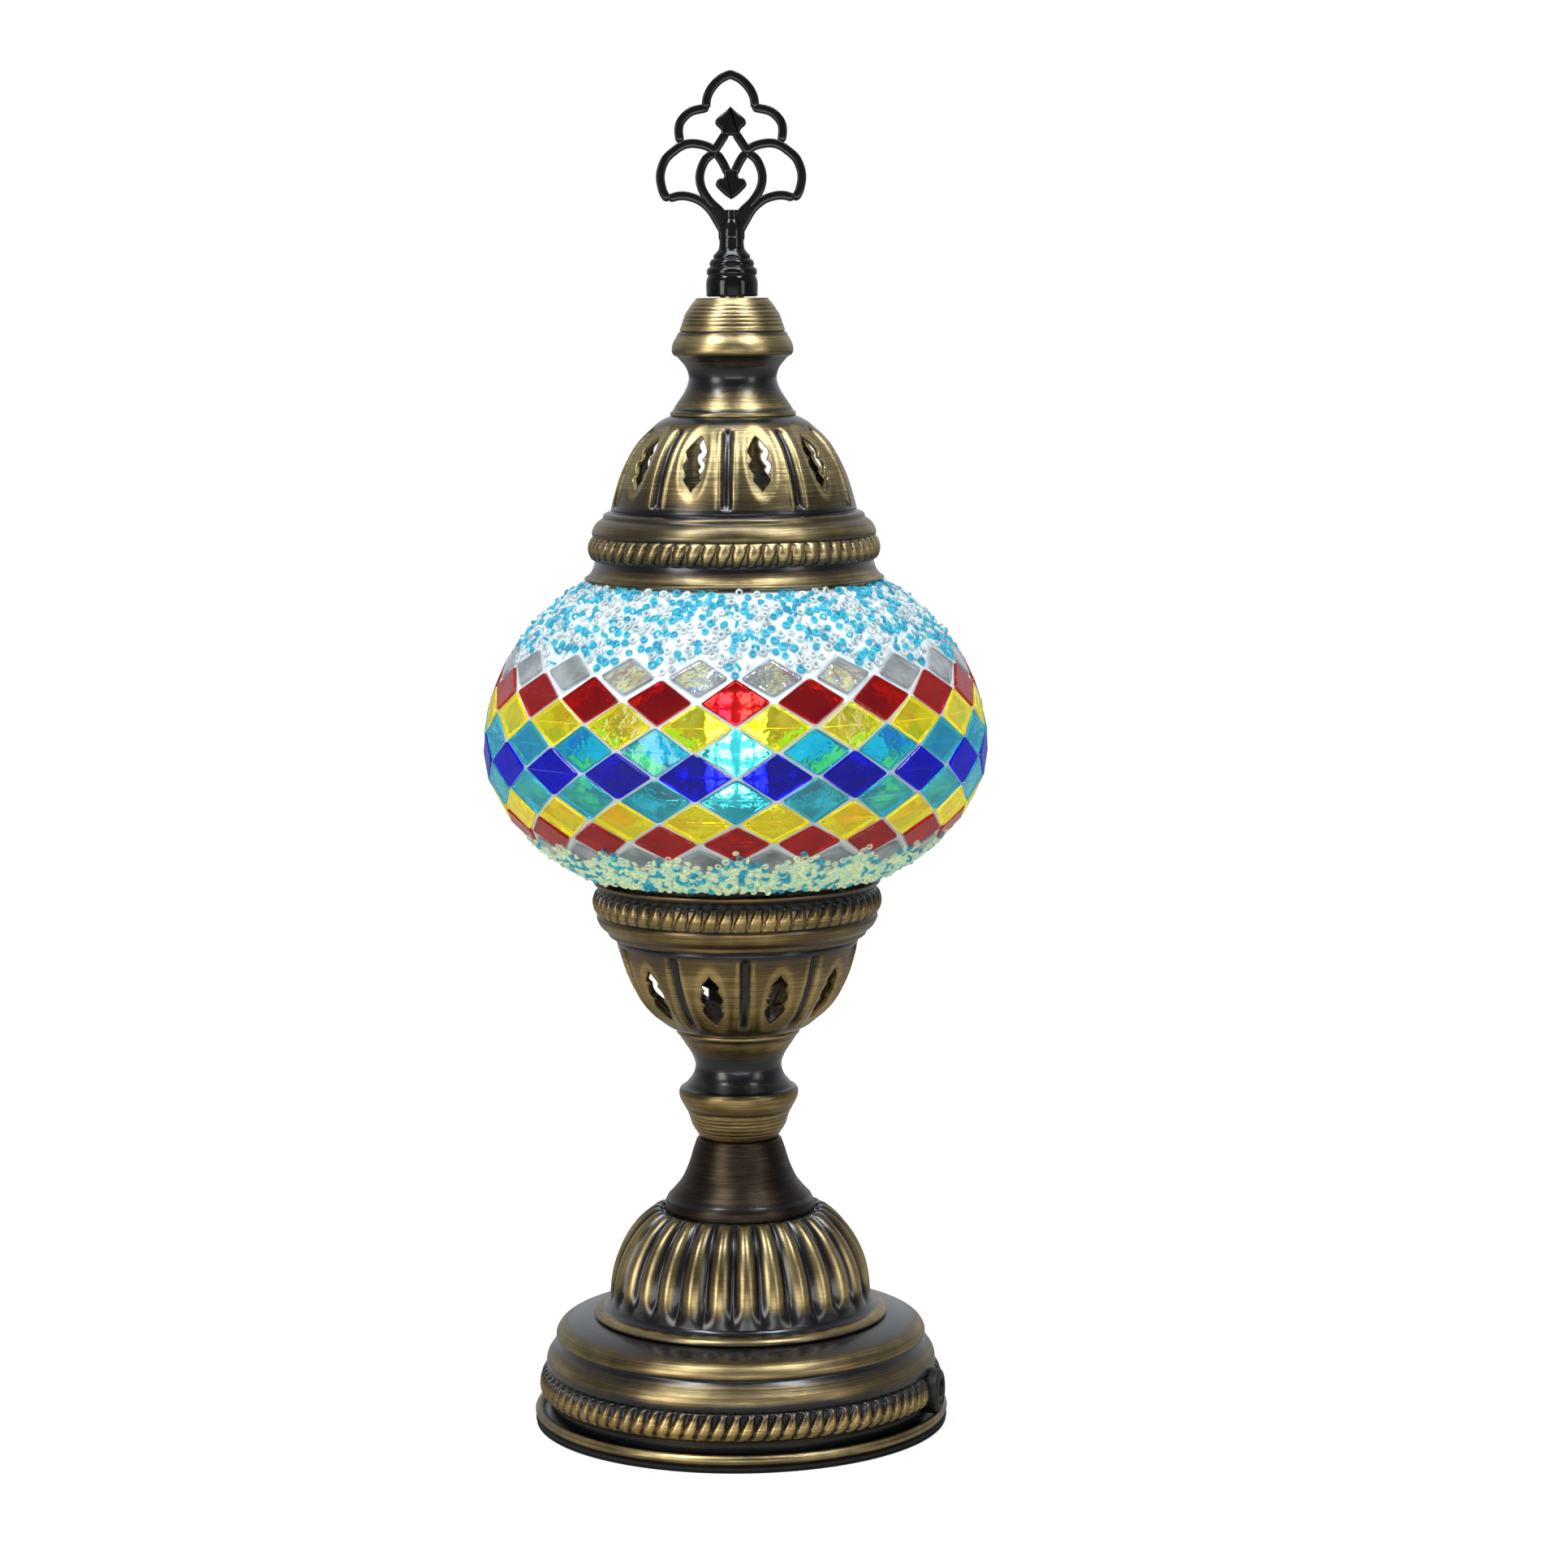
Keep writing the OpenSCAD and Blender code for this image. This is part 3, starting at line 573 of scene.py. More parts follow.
def rope_band(name, count, line, full_z, claw_z, body, depth=1.4, lean=0.6, gap=None):
    """A stamped rope band. Its slanted ridges are full at full_z and end as claws at claw_z.

    At the angle gap it is pressed flat, to leave room for the cord inlet."""
    line = finer(line, 0.3)
    if line[0, 1] > line[-1, 1]:
        line = line[::-1]
    start = FRONT + 0.01

    def crest(a, z):
        t = np.clip((z - full_z) / (claw_z - full_z), 0, 1)
        up = (z - min(full_z, claw_z)) / abs(claw_z - full_z)
        off = np.abs((((a - start) * count / TAU - lean * up) + 0.5) % 1 - 0.5) * 2
        width = 1.02 - 0.4 * smoothstep(t, 0.3, 1.0)
        round_top = np.sqrt(np.clip(1 - (off / width) ** 2, 0, 1))
        return round_top, smoothstep(t, 0.0, 0.14) * (1 - smoothstep(t, 0.9, 1.0)), t, off

    def shape(a, r, z):
        ridge, fade, t, off = crest(a, z)
        relief = -depth * (1 - ridge) * (0.25 + 0.75 * fade)
        if gap is None:
            return relief
        return relief - 2.8 * (1 - smoothstep(np.abs(turned_to(a, gap, 1)) * r, 6.2, 6.8))

    def patina(a, r, z):
        ridge, fade, t, off = crest(a, z)
        pit = smoothstep(off, 0.72, 0.95) * np.exp(-((t - 0.16) / 0.12) ** 2)
        # patina lies between the ridges and in the pits; the rise towards the claw ends is painted shade
        return 1.2 * (1 - ridge) ** 1.1 + 0.9 * pit + 0.7 * smoothstep(t, 0.45, 1.0) - 0.16

    return lathe(name, sheet(line, ROPE_WALL), body, TURNED_BRASS[body], count * 14, shape, patina)


# ---------------------------------------------------------------- stem, cap and base turnings
NECK_LINE = joined(
    curve([(15.3, 0), (15.5, 0.3), (15.4, 0.9), (14.9, 1.3)], 4),
    curve([(14.8, 1.5), (13.6, 3.4), (12.0, 5.8), (11.0, 8.2), (10.9, 10), (11.6, 12), (13.4, 14.2)], 6),
    curve([(13.7, 14.5), (14.5, 14.9), (14.95, 15.8), (14.9, 17.0), (14.5, 18.2), (13.8, 19.4),
           (13.3, 20.4)], 5))
END_CUP_LINE = curve([(13, 0), (12.5, 1.6), (11.7, 3.9), (10.3, 6.1), (9.4, 7.2), (9.1, 7.5)], 8)


def ring_dirt(rings):
    """Patina that gathers at given heights: (height, half width, strength)."""
    def patina(a, r, z):
        return sum(s * np.exp(-((z - z0) / w) ** 2) for z0, w, s in rings)
    return patina


def neck(name, line, z0, up, body, node):
    """A waisted turning with a bulge, its foot at z0, or its top if it hangs."""
    sign = 1 if up else -1
    rings = [(z0 + sign * k, w, s) for k, w, s in
             ((1.35, 0.5, 0.8), (9.6, 4.7, 1.1), (14.3, 0.7, 0.7), (20.6, 0.7, 0.8))]
    return shell(name, finer(line, 0.6), SHEET, body, TURNED_BRASS[body], patina=ring_dirt(rings),
                 replaces=[node])


def end_cup(name, line, body, node, low, high):
    """A small thimble with fine turned grooves round it."""
    line = finer(line, 0.16)
    on_side = smoothstep(line[:, 1], low + 0.4, low + 1.0) * (1 - smoothstep(line[:, 1], high - 1, high))
    groove = (0.5 - 0.5 * np.cos(line[:, 1] * TAU / 0.98)) * (0.65 + 0.35 * np.sin(line[:, 1] * 2.3))
    line = beside(line, 0.12 * groove * on_side)

    def patina(a, r, z):
        g = 0.5 - 0.5 * np.cos(z * TAU / 0.95)
        return 0.5 * g ** 2 * smoothstep(z, low + 0.2, low + 1) * (1 - smoothstep(z, high - 1, high)) - 0.1

    return shell(name, line, SHEET, body, TURNED_BRASS[body], patina=patina, segments=192, replaces=[node])


def fluted_dome():
    """The base's stamped dome: round flutes with sharp dark valleys, over a bead ring."""
    count, depth = 28, 2.3
    lift = curve([(5.3, 53), (18.4, 53), (19.4, 53.2), (20.6, 54.0), (22.6, 53.4), (26.2, 50.2),
                  (29.2, 46), (31.4, 41.2), (32.5, 36.6), (32.9, 32.4), (33.1, 30.4)], 9)
    ring = curve([(33.6, 29.8), (34.4, 29.3), (35.3, 29.2), (36.2, 28.9), (36.9, 28.2), (37.0, 27.6),
                  (36.5, 27.2)], 5)
    outer = finer(joined(lift, ring), 0.7)
    line = sheet(outer[::-1], SHEET)
    start = FRONT + math.radians(2.9)

    def swell(z, r):
        return smoothstep(z, 29.6, 36.5) * smoothstep(r, 18.8, 22.5)

    def away(a):
        return np.abs(((a - start) * count / TAU + 0.5) % 1 - 0.5) * 2

    def flute(a):
        return 1 - np.cos(away(a) * math.pi / 2) ** 0.9

    def shape(a, r, z):
        return -depth * flute(a) * swell(z, r)

    def patina(a, r, z):
        low = 1.2 * np.exp(-((z - 30.4) / 4.4) ** 2) * (r < 34.6) + 0.22 * (r >= 34.6)
        top = (1 - smoothstep(r, 19.2, 22)) * (r > 5)
        return (1.25 * smoothstep(away(a), 0.42, 0.9) * smoothstep(z, 29, 31) * smoothstep(r, 18.8, 22.5)
                + low + 0.7 * top + 0.5 * (r > 36.6) * (z < 28) + 0.3 * smoothstep(z, 47, 52) - 0.16)

    lathe("base_dome_shell", line, "base", SMOOTH_BRASS, count * 17, shape, patina, replaces=["base_dome"])


def base_pieces():
    """The stepped base with its rope, the bell on top, the tray under it and the pad."""
    foot = curve([(48.3, 2.05), (48.35, 4), (48.5, 5.8)], 4)
    under_rope = curve([(48.5, 6.3), (48.7, 7.4), (48.8, 9.8), (48.7, 12.2), (48.6, 13.8)], 5)
    band = curve([(48.9, 14.4), (49.1, 15.3), (49.0, 16.4), (48.7, 17.4), (48.0, 18.5), (47.1, 19.8),
                  (46.2, 20.8)], 5)
    shoulder = curve([(45.9, 21.2), (46.4, 21.6), (46.6, 22.4), (46.3, 23.4), (45.4, 24.6), (43.6, 25.6),
                      (40.4, 26.5), (38.2, 26.9), (37.0, 27.1), (35.0, 27.2), (33, 27.2)], 6)
    rings = [(6.0, 0.8, 0.9), (14.2, 1.1, 1.0), (15.8, 0.7, 0.4), (19.4, 0.9, 0.35), (20.9, 0.7, 1.0),
             (26.6, 0.9, 0.6), (2.6, 1.6, 0.5)]

    def darkness(a, r, z):
        dark = ring_dirt(rings)(a, r, z) + 0.9 * (z > 6.3) * (z < 14)
        return dark + 0.6 * (1 - smoothstep(r, 40.5, 45.8)) + 0.9 * (z < 7)

    body_line = finer(joined(foot, under_rope, band, shoulder), 0.6)
    obj = shell("base_shell_sheet", body_line, BASE_SHEET, "base", BASE_BRASS, patina=darkness, segments=320,
                replaces=["base_shell"])
    pierce(obj, cylinder_cutter(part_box("cord_inlet"), 4.5))
    rope = curve([(48.4, 6.9), (49.4, 7.0), (50.3, 7.8), (50.9, 9.3), (50.7, 11.2), (50.1, 12.8),
                  (49.2, 13.7), (48.5, 13.9)], 5)
    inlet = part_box("cord_inlet")
    rope_band("base_rope", BASE_ROPES, rope, 7.2, 13.6, "base",
              gap=math.atan2(inlet[0].y + inlet[1].y, inlet[0].x + inlet[1].x))
    bell = joined(curve([(18.5, 53.0), (18.8, 53.3), (18.8, 55.2), (18.5, 56.4)], 4),
                  curve([(18.0, 57.3), (16.4, 59), (14.4, 61.6), (12.7, 65.4), (11.6, 69), (10.9, 71)], 6),
                  curve([(10.7, 71.6), (10.2, 72.1), (9.6, 72.1), (9.2, 71.7), (9.1, 71.1)], 4),
                  [(8.6, 71), (5.1, 71)])
    shell("base_bell_shell", finer(bell, 0.6), SHEET, "base", BELL_BRASS, replaces=["base_bell"],
          patina=ring_dirt([(53.2, 0.8, 0.5), (57.0, 0.6, 0.5), (71.9, 0.5, -0.3)]))
    tray = joined([(0.2, 1.2), (49.6, 1.2), (50.6, 1.3)],
                  curve([(51.2, 1.7), (51.9, 2.4), (52.1, 3.2), (51.7, 4.0), (51.0, 4.3), (50.3, 4.0),
                         (50.0, 3.2)], 5), [(49.9, 2.1), (0.2, 2.0)])
    lathe("base_tray_pan", finer(tray, 1.5), "base", BRASS, 256, replaces=["base_tray"],
          patina=lambda a, r, z: 1.4 * (1 - smoothstep(r, 49.8, 50.8)) + 0.12)
    pad = curve([(14, 0.05), (30, 0), (50.2, 0), (50.6, 0.4), (50.4, 1.15), (30, 1.15), (14, 1.1)], 3)
    lathe("felt_pad_disc", pad, "base", FELT, 192, replaces=["felt_pad"])


def cylinder_cutter(box, radius):
    """A cylinder on the cord inlet's axis, used to pierce the base and then thrown away."""
    middle = (box[0] + box[1]) / 2
    angle = math.atan2(middle.y, middle.x)
    bpy.ops.mesh.primitive_cylinder_add(vertices=48, radius=radius * MM, depth=0.02)
    obj = bpy.context.object
    obj.matrix_world = (Matrix.Translation(middle) @ Matrix.Rotation(angle, 4, "Z")
                        @ Matrix.Rotation(math.pi / 2, 4, "Y"))
    return obj


def cord_inlet():
    """The black bush in the base's wall, with a bevelled head and an open bore."""
    low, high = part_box("cord_inlet")
    middle = (low + high) / 2
    angle = math.atan2(middle.y, middle.x)
    line = joined([(3.3, 43.5), (5.2, 43.5), (5.4, 43.8), (5.4, 44.9), (4.3, 46.4), (4.3, 48.3)],
                  curve([(5.4, 48.5), (5.6, 48.9), (5.6, 50.9), (5.3, 51.5), (4.7, 51.8)], 4),
                  curve([(4.2, 51.9), (3.6, 51.9), (3.3, 51.5)], 3))
    obj = lathe("cord_inlet_bush", finer(line, 0.5), "base", BLACK_PLASTIC, 64, replaces=["cord_inlet"])
    obj.data.transform(Matrix.Translation((0, 0, middle.z)) @ Matrix.Rotation(angle, 4, "Z")
                       @ Matrix.Rotation(math.pi / 2, 4, "Y"))


def stem_and_cap():
    """The two cups with their necks and end cups: one set stands in the stem, one hangs as the cap."""
    cup_floor = foot_of("lower_cup")
    cap_floor = top_of("cap_dome")
    stem_joint = foot_of("stem_neck")
    bell_seat = foot_of("stem_end_cup")
    pierced_cup("lower_cup_shell", CUP_RIM, cup_floor, -14.3, False, 5.1, "base", "lower_cup")
    pierced_cup("cap_dome_shell", CAP_FLANGE, cap_floor, 14.5, True, 3.1, "cap", "cap_dome")
    neck("cap_neck_shell", joined(NECK_LINE + (0, cap_floor), [(12.6, cap_floor + 20.7),
                                                               (3.1, cap_floor + 20.7)]),
         cap_floor, True, "cap", "cap_neck")
    neck("stem_neck_shell", joined([(5.1, stem_joint), (12.9, stem_joint)],
                                   hung(NECK_LINE, cup_floor - 0.05)),
         cup_floor, False, "base", "stem_neck")
    base_of_cup = foot_of("cap_end_cup")
    top = top_of("cap_end_cup")
    end_cup("cap_end_cup_shell", joined(END_CUP_LINE + (0, base_of_cup), [(8.8, top), (3.1, top)]),
            "cap", "cap_end_cup", base_of_cup, base_of_cup + 7)
    end_cup("stem_end_cup_shell", joined([(5.1, bell_seat), (8.6, bell_seat)],
                                         hung(END_CUP_LINE, stem_joint)),
            "base", "stem_end_cup", stem_joint - 6.5, stem_joint - 0.2)


# ---------------------------------------------------------------- finial
STRIP_W = 2.2
FRET_T = 2.4
STRIPS = [
    [(-0.8, 335.7), (0, 335.7), (2.4, 334.6), (4.5, 332.5), (5.7, 330.1), (6, 327.3)],
    [(5.3, 327.7), (9.6, 326.8), (12.1, 324.5), (12.7, 322.1), (12.3, 319.2)],
    [(3.4, 316.6), (4.6, 317.8), (6.7, 318.7), (9.4, 319.1), (11.6, 318.7), (13.6, 317.5),
      (16.1, 315.1), (17.3, 311.4), (16.7, 307.6), (15.3, 305.3)],
    [(0.6, 311.4), (2, 314.4), (3.7, 317)],
    [(4.6, 316.4), (2.7, 319.2), (1.0, 321.8)],
    [(3.9, 317), (6.3, 315), (7.6, 311.6), (7.2, 308.3), (5.3, 305.1), (2.3, 302), (1.4, 298)],
    [(15.5, 305.7), (13, 306.4), (10.6, 306.3), (7.8, 305.3), (5.3, 303.2), (3.5, 300.4),
      (1.9, 297.5)]]
SPADES = [[(0, 328), (1.3, 326.7), (2.9, 325.5), (3.7, 324.5), (3.6, 323.5), (2.4, 322.3),
           (2.2, 320.9), (0, 320.9)],
          [(0, 312.8), (1.7, 312.8), (1.8, 310.8), (3.1, 310.5), (3.8, 309), (2.7, 307.6), (1.4, 306.4),
           (0, 305.5)],
          [(0, 302.4), (1.3, 301.9), (2.2, 303.2), (3.9, 305.0), (5.6, 303.3), (4.4, 301.0),
           (3.3, 298.2), (2.9, 295.5), (0, 295.5)]]


def strip(points, width, thick):
    """A rounded strip bent in the XZ plane, narrowing to rounded ends."""
    line = curve(points, 6)
    ahead = np.gradient(line, axis=0)
    ahead /= np.linalg.norm(ahead, axis=1, keepdims=True)
    side = np.stack([-ahead[:, 1], ahead[:, 0]], 1)
    gone = np.concatenate([[0], np.cumsum(np.linalg.norm(np.diff(line, axis=0), axis=1))])
    near_end = np.minimum(gone, gone[-1] - gone)
    size = np.sqrt(np.clip(1 - (1 - np.clip(near_end / (width / 2), 0.06, 1)) ** 2, 0, 1))
    cols = 24
    verts, faces = [], []
    for p, s, k in zip(line, side, size):
        for j in range(cols):
            u = TAU * j / cols
            across = math.copysign(abs(math.cos(u)) ** 0.4, math.cos(u)) * width / 2 * k
            deep = math.copysign(abs(math.sin(u)) ** 0.4, math.sin(u)) * thick / 2 * (0.6 + 0.4 * k)
            x, z = p + s * across
            verts.append((x, deep, z))
    n = len(line)
    for i in range(n - 1):
        for j in range(cols):
            j2 = (j + 1) % cols
            faces.append([i * cols + j, i * cols + j2, (i + 1) * cols + j2, (i + 1) * cols + j])
    faces.append(list(reversed(range(cols))))
    faces.append([(n - 1) * cols + j for j in range(cols)])
    return np.array(verts), faces


def signed_area(outline):
    """An outline's area, negative when it runs clockwise."""
    x, y = outline.T
    return np.sum(x * np.roll(y, -1) - np.roll(x, -1) * y) / 2


def mirrored(verts, faces):
    return verts * (-1, 1, 1), [list(reversed(f)) for f in faces]


def finial():
    """The openwork casting of strips and spades, its tube and its turned collar."""
    heap = Heap()
    for points in STRIPS:
        verts, faces = strip(points, STRIP_W, FRET_T)
        heap.add(verts, faces)
        heap.add(*mirrored(verts, faces))
    for half in SPADES:
        half = curve(half, 4)
        outline = np.concatenate([half, (half * (-1, 1))[::-1][1:-1]])
        if signed_area(outline) < 0:
            outline = outline[::-1]
        verts, faces = plate(outline, FRET_T, 0.6)
        heap.add(np.stack([verts[:, 0], FRET_T / 2 - verts[:, 2], verts[:, 1]], 1), faces)
    fret = heap.make("finial_fret_strips", "finial", ENAMEL, replaces=["finial_fret"])
    recalculate_normals(fret.data)
    tube = joined([(0.9, 294.0), (2.8, 294.0)],
                  curve([(2.95, 294.2), (2.95, 297.6), (2.4, 299.8), (1.8, 301), (1.75, 302.7),
                         (1.5, 303)], 4),
                  [(1.0, 303.0), (0.9, 302.8)])
    lathe("finial_tube", tube, "finial", ENAMEL, 48)
    collar = joined([(3.1, 281.9), (6.0, 281.9), (6.3, 282.2)],
                    curve([(6.3, 282.6), (6.35, 285.2), (6.1, 286.4), (5.85, 286.9)], 4),
                    curve([(5.8, 287.1), (6.15, 287.5), (6.1, 288.5), (5.4, 289.2)], 4),
                    curve([(5.3, 289.4), (5.5, 289.9), (5.2, 290.7), (4.6, 291.1)], 4),
                    curve([(4.5, 291.3), (4.5, 291.9), (3.9, 292.6), (3.2, 293.5), (3, 294.8)], 4),
                    [(3, 296.5), (0.1, 296.5), (0.1, 290), (3.1, 289.5)])
    lathe("finial_collar_turned", finer(collar, 0.8), "finial", ENAMEL, 96, replaces=["finial_collar"])


# ---------------------------------------------------------------- the mosaic
GLOBE_R = 62.5
GLOBE_MID = 171.5
RISE, DROP = 51.0, 40.5
ROW_Z = [193.5, 187.8, 182, 176.1, 170.1, 164.2, 158.6, 153.2, 148.2]
PER_RING = 20
STEP = TAU / PER_RING
BED_OUT, BED_IN = 0.75, 3.0     # how far the grout lies and reaches in below the globe's outline
BEAD_SINK = 0.15                # how much deeper it lies under the beads
WELD_WITHIN = 0.00004
TILE_T, TILE_EDGE = 2.0, 0.3
TILE_HALF_H = 5.75
TILE_FILL, EDGE_TILE_FILL = 0.9, 0.81   # a tile's share of its cell's width
BAND_END = {True: 213.0, False: 138.8}  # where the grout under the beads ends, above and below
BEAD_R, BEAD_WIRE = {True: 0.76, False: 0.66}, 0.32
random.seed(7)


def globe_radius(z):
    z = np.asarray(z, float)
    half = np.where(z > GLOBE_MID, RISE, DROP)
    return GLOBE_R * np.sqrt(np.clip(1 - ((z - GLOBE_MID) / half) ** 2, 0.0004, 1))


def on_globe(angle, z, depth):
    """A point below the globe's outline at an angle and a height."""
    angle, z = np.broadcast_arrays(np.asarray(angle, float), np.asarray(z, float))
    half = np.where(z > GLOBE_MID, RISE, DROP)
    r = globe_radius(z)
    nr, nz = r / GLOBE_R ** 2, (z - GLOBE_MID) / half ** 2
    size = np.hypot(nr, nz)
    r2, z2 = r - depth * nr / size, z - depth * nz / size
    return np.stack([r2 * np.cos(angle), r2 * np.sin(angle), z2], -1)


def globe_frame(angle, z):
    """The outward, rightward and upward directions at a place on the globe."""
    half = RISE if z > GLOBE_MID else DROP
    r = float(globe_radius(z))
    out = Vector((r / GLOBE_R ** 2 * math.cos(angle), r / GLOBE_R ** 2 * math.sin(angle),
                  (z - GLOBE_MID) / half ** 2)).normalized()
    across = Vector((-math.sin(angle), math.cos(angle), 0))
    return out, across, out.cross(across)


def row_angle(row, k):
    return FRONT + STEP * (k + (0.5 if row % 2 == 0 else 0.0))


def cell_edge(row):
    """The heights of a cell's top and bottom corners, in the rows above and below."""
    above = ROW_Z[row - 1] if row else 2 * ROW_Z[0] - ROW_Z[1] + 0.2
    below = ROW_Z[row + 1] if row < len(ROW_Z) - 1 else 2 * ROW_Z[-1] - ROW_Z[-2] + 0.4
    return above, below


def tile_outline(row, k):
    """A tile's rounded diamond in its own plane, hand cut, so no two are quite alike."""
    edge = row in (0, len(ROW_Z) - 1)
    half_w = math.pi * float(globe_radius(ROW_Z[row])) / PER_RING * (EDGE_TILE_FILL if edge else TILE_FILL)
    half_h = TILE_HALF_H * (0.86 if edge else 1.0)
    corners = [Vector((half_w, 0)), Vector((0, half_h)), Vector((-half_w, 0)), Vector((0, -half_h))]
    corners = [c + Vector((random.uniform(-0.25, 0.25), random.uniform(-0.2, 0.2))) for c in corners]
    outline = []
    for i, c in enumerate(corners):
        before, after = corners[i - 1] - c, corners[(i + 1) % 4] - c
        cut = random.uniform(0.5, 1.1)
        a, b = c + before.normalized() * cut, c + after.normalized() * cut
        for t in (0, 0.35, 0.65, 1):
            outline.append(a * (1 - t) ** 2 + c * (2 * t * (1 - t)) + b * t * t)
    return [tuple(p) for p in outline]


def tile_places(row):
    """Each tile of a ring with its outline and its plane."""
    for k in range(PER_RING):
        angle = row_angle(row, k)
        out, across, up = globe_frame(angle, ROW_Z[row])
        centre = Vector(on_globe(angle, ROW_Z[row], 2.3))
        lean = Matrix.Rotation(random.uniform(-0.022, 0.022), 3, across) @ Matrix.Rotation(
            random.uniform(-0.02, 0.02), 3, up)
        yield angle, tile_outline(row, k), centre, lean @ out, lean @ across, lean @ up


RINGS = [("tiles_1_clear", CLEAR), ("tiles_2_red", RED), ("tiles_3_yellow", YELLOW),
         ("tiles_4_turquoise", TURQUOISE), ("tiles_5_navy", NAVY), ("tiles_6_turquoise", TURQUOISE),
         ("tiles_7_yellow", YELLOW), ("tiles_8_red", RED), ("tiles_9_clear", CLEAR)]


def mosaic():
    """The rings of cut tiles, and the white grout round every one of them."""
    grout = Heap()
    for row, (node, glass) in enumerate(RINGS):
        tiles = Heap()
        for angle, outline, centre, out, across, up in tile_places(row):
            verts, faces = plate(outline, TILE_T, TILE_EDGE)
            place = [centre + across * x + up * y + out * h for x, y, h in verts.tolist()]
            tiles.add(place, faces)
            grout_frame(grout, row, angle, [centre + across * x + up * y for x, y in outline], out)
        tiles.make(node + "_cut", "globe", glass, smooth=False, replaces=[node])
    bead_bed(grout, True)
    bead_bed(grout, False)
    bed = grout.make("grout_lines", "globe", GROUT, replaces=["grout_bed"])
    recalculate_normals(bed.data, WELD_WITHIN)


def grout_frame(heap, row, angle, inner, out):
    """The grout between a tile's edge and its cell's edge, pressed a little lower than the tile."""
    above, below = cell_edge(row)
    z = ROW_Z[row]
    corners = [(angle + STEP / 2, z), (angle, above), (angle - STEP / 2, z), (angle, below)]
    per_side = len(inner) // 4
    rim = []
    for i in range(4):
        (a0, z0), (a1, z1) = corners[i], corners[(i + 1) % 4]
        for t in np.arange(per_side) / per_side:
            rim.append((a0 + (a1 - a0) * t, z0 + (z1 - z0) * t))
    shift = per_side // 2
    inner = inner[shift:] + inner[:shift]
    rim = np.array(rim)
    n = len(rim)
    top = on_globe(rim[:, 0], rim[:, 1], BED_OUT)
    deep = on_globe(rim[:, 0], rim[:, 1], BED_IN)
    edge = [np.array(p + out * 1.35) for p in inner]
    foot = [np.array(p - out * 0.6) for p in inner]
    verts = [*top, *edge, *foot, *deep]
    faces = [[a * n + i, a * n + (i + 1) % n, b * n + (i + 1) % n, b * n + i]
             for a, b in ((0, 1), (1, 2), (2, 3)) for i in range(n)]
    heap.add(verts, faces)


def zigzag(angle, high):
    """The height of the mosaic's toothed edge at an angle: high for the top edge."""
    row = 0 if high else len(ROW_Z) - 1
    tip = cell_edge(row)[0 if high else 1]
    phase = abs(((angle - row_angle(row, 0)) / STEP + 0.5) % 1 - 0.5) * 2
    return tip + (ROW_Z[row] - tip) * phase


def bead_bed(heap, high):
    """The band of grout that the seed beads are pressed into."""
    end = BAND_END[high]
    cols, rows = PER_RING * 8, 8
    angles = row_angle(0, 0) + np.arange(cols) * TAU / cols
    verts = []
    for top in (True, False):
        for i in range(rows + 1):
            depth = BED_OUT + (BEAD_SINK if i else 0) if top else BED_IN
            for a in angles:
                z0 = zigzag(a, high)
                verts.append(on_globe(a, z0 + (end - z0) * i / rows, depth))
    layer = (rows + 1) * cols
    faces = []
    for i in range(rows):
        for j in range(cols):
            j2 = (j + 1) % cols
            quad = [i * cols + j, i * cols + j2, (i + 1) * cols + j2, (i + 1) * cols + j]
            faces.append(quad if high else quad[::-1])
            faces.append([v + layer for v in (quad[::-1] if high else quad)])
    last = rows * cols
    for j in range(cols):
        j2 = (j + 1) % cols
        quad = [last + j, last + j2, last + layer + j2, last + layer + j]
        faces.append(quad if high else quad[::-1])
    heap.add(verts, faces)


def scattered(high, gap, end):
    """Places for seed beads on a band, none nearer than gap, filling it evenly."""
    taken, cells = [], {}
    low_z, high_z = sorted((zigzag(row_angle(0 if high else len(ROW_Z) - 1, 0), high)
                            + (-6 if high else 8), end))
    for _ in range(40000):
        a, z = random.uniform(0, TAU), random.uniform(low_z, high_z)
        edge = zigzag(a, high)
        if (z < edge + 0.5) if high else (z > edge + random.uniform(-1, 3.4)):
            continue
        p = Vector(on_globe(a, z, 0.45))
        key = tuple(int(c // gap) for c in p)
        near = [q for i in (-1, 0, 1) for j in (-1, 0, 1) for k in (-1, 0, 1)
                for q in cells.get((key[0] + i, key[1] + j, key[2] + k), [])]
        if all((p - q).length > gap for q in near):
            cells.setdefault(key, []).append(p)
            taken.append((a, z))
    return taken


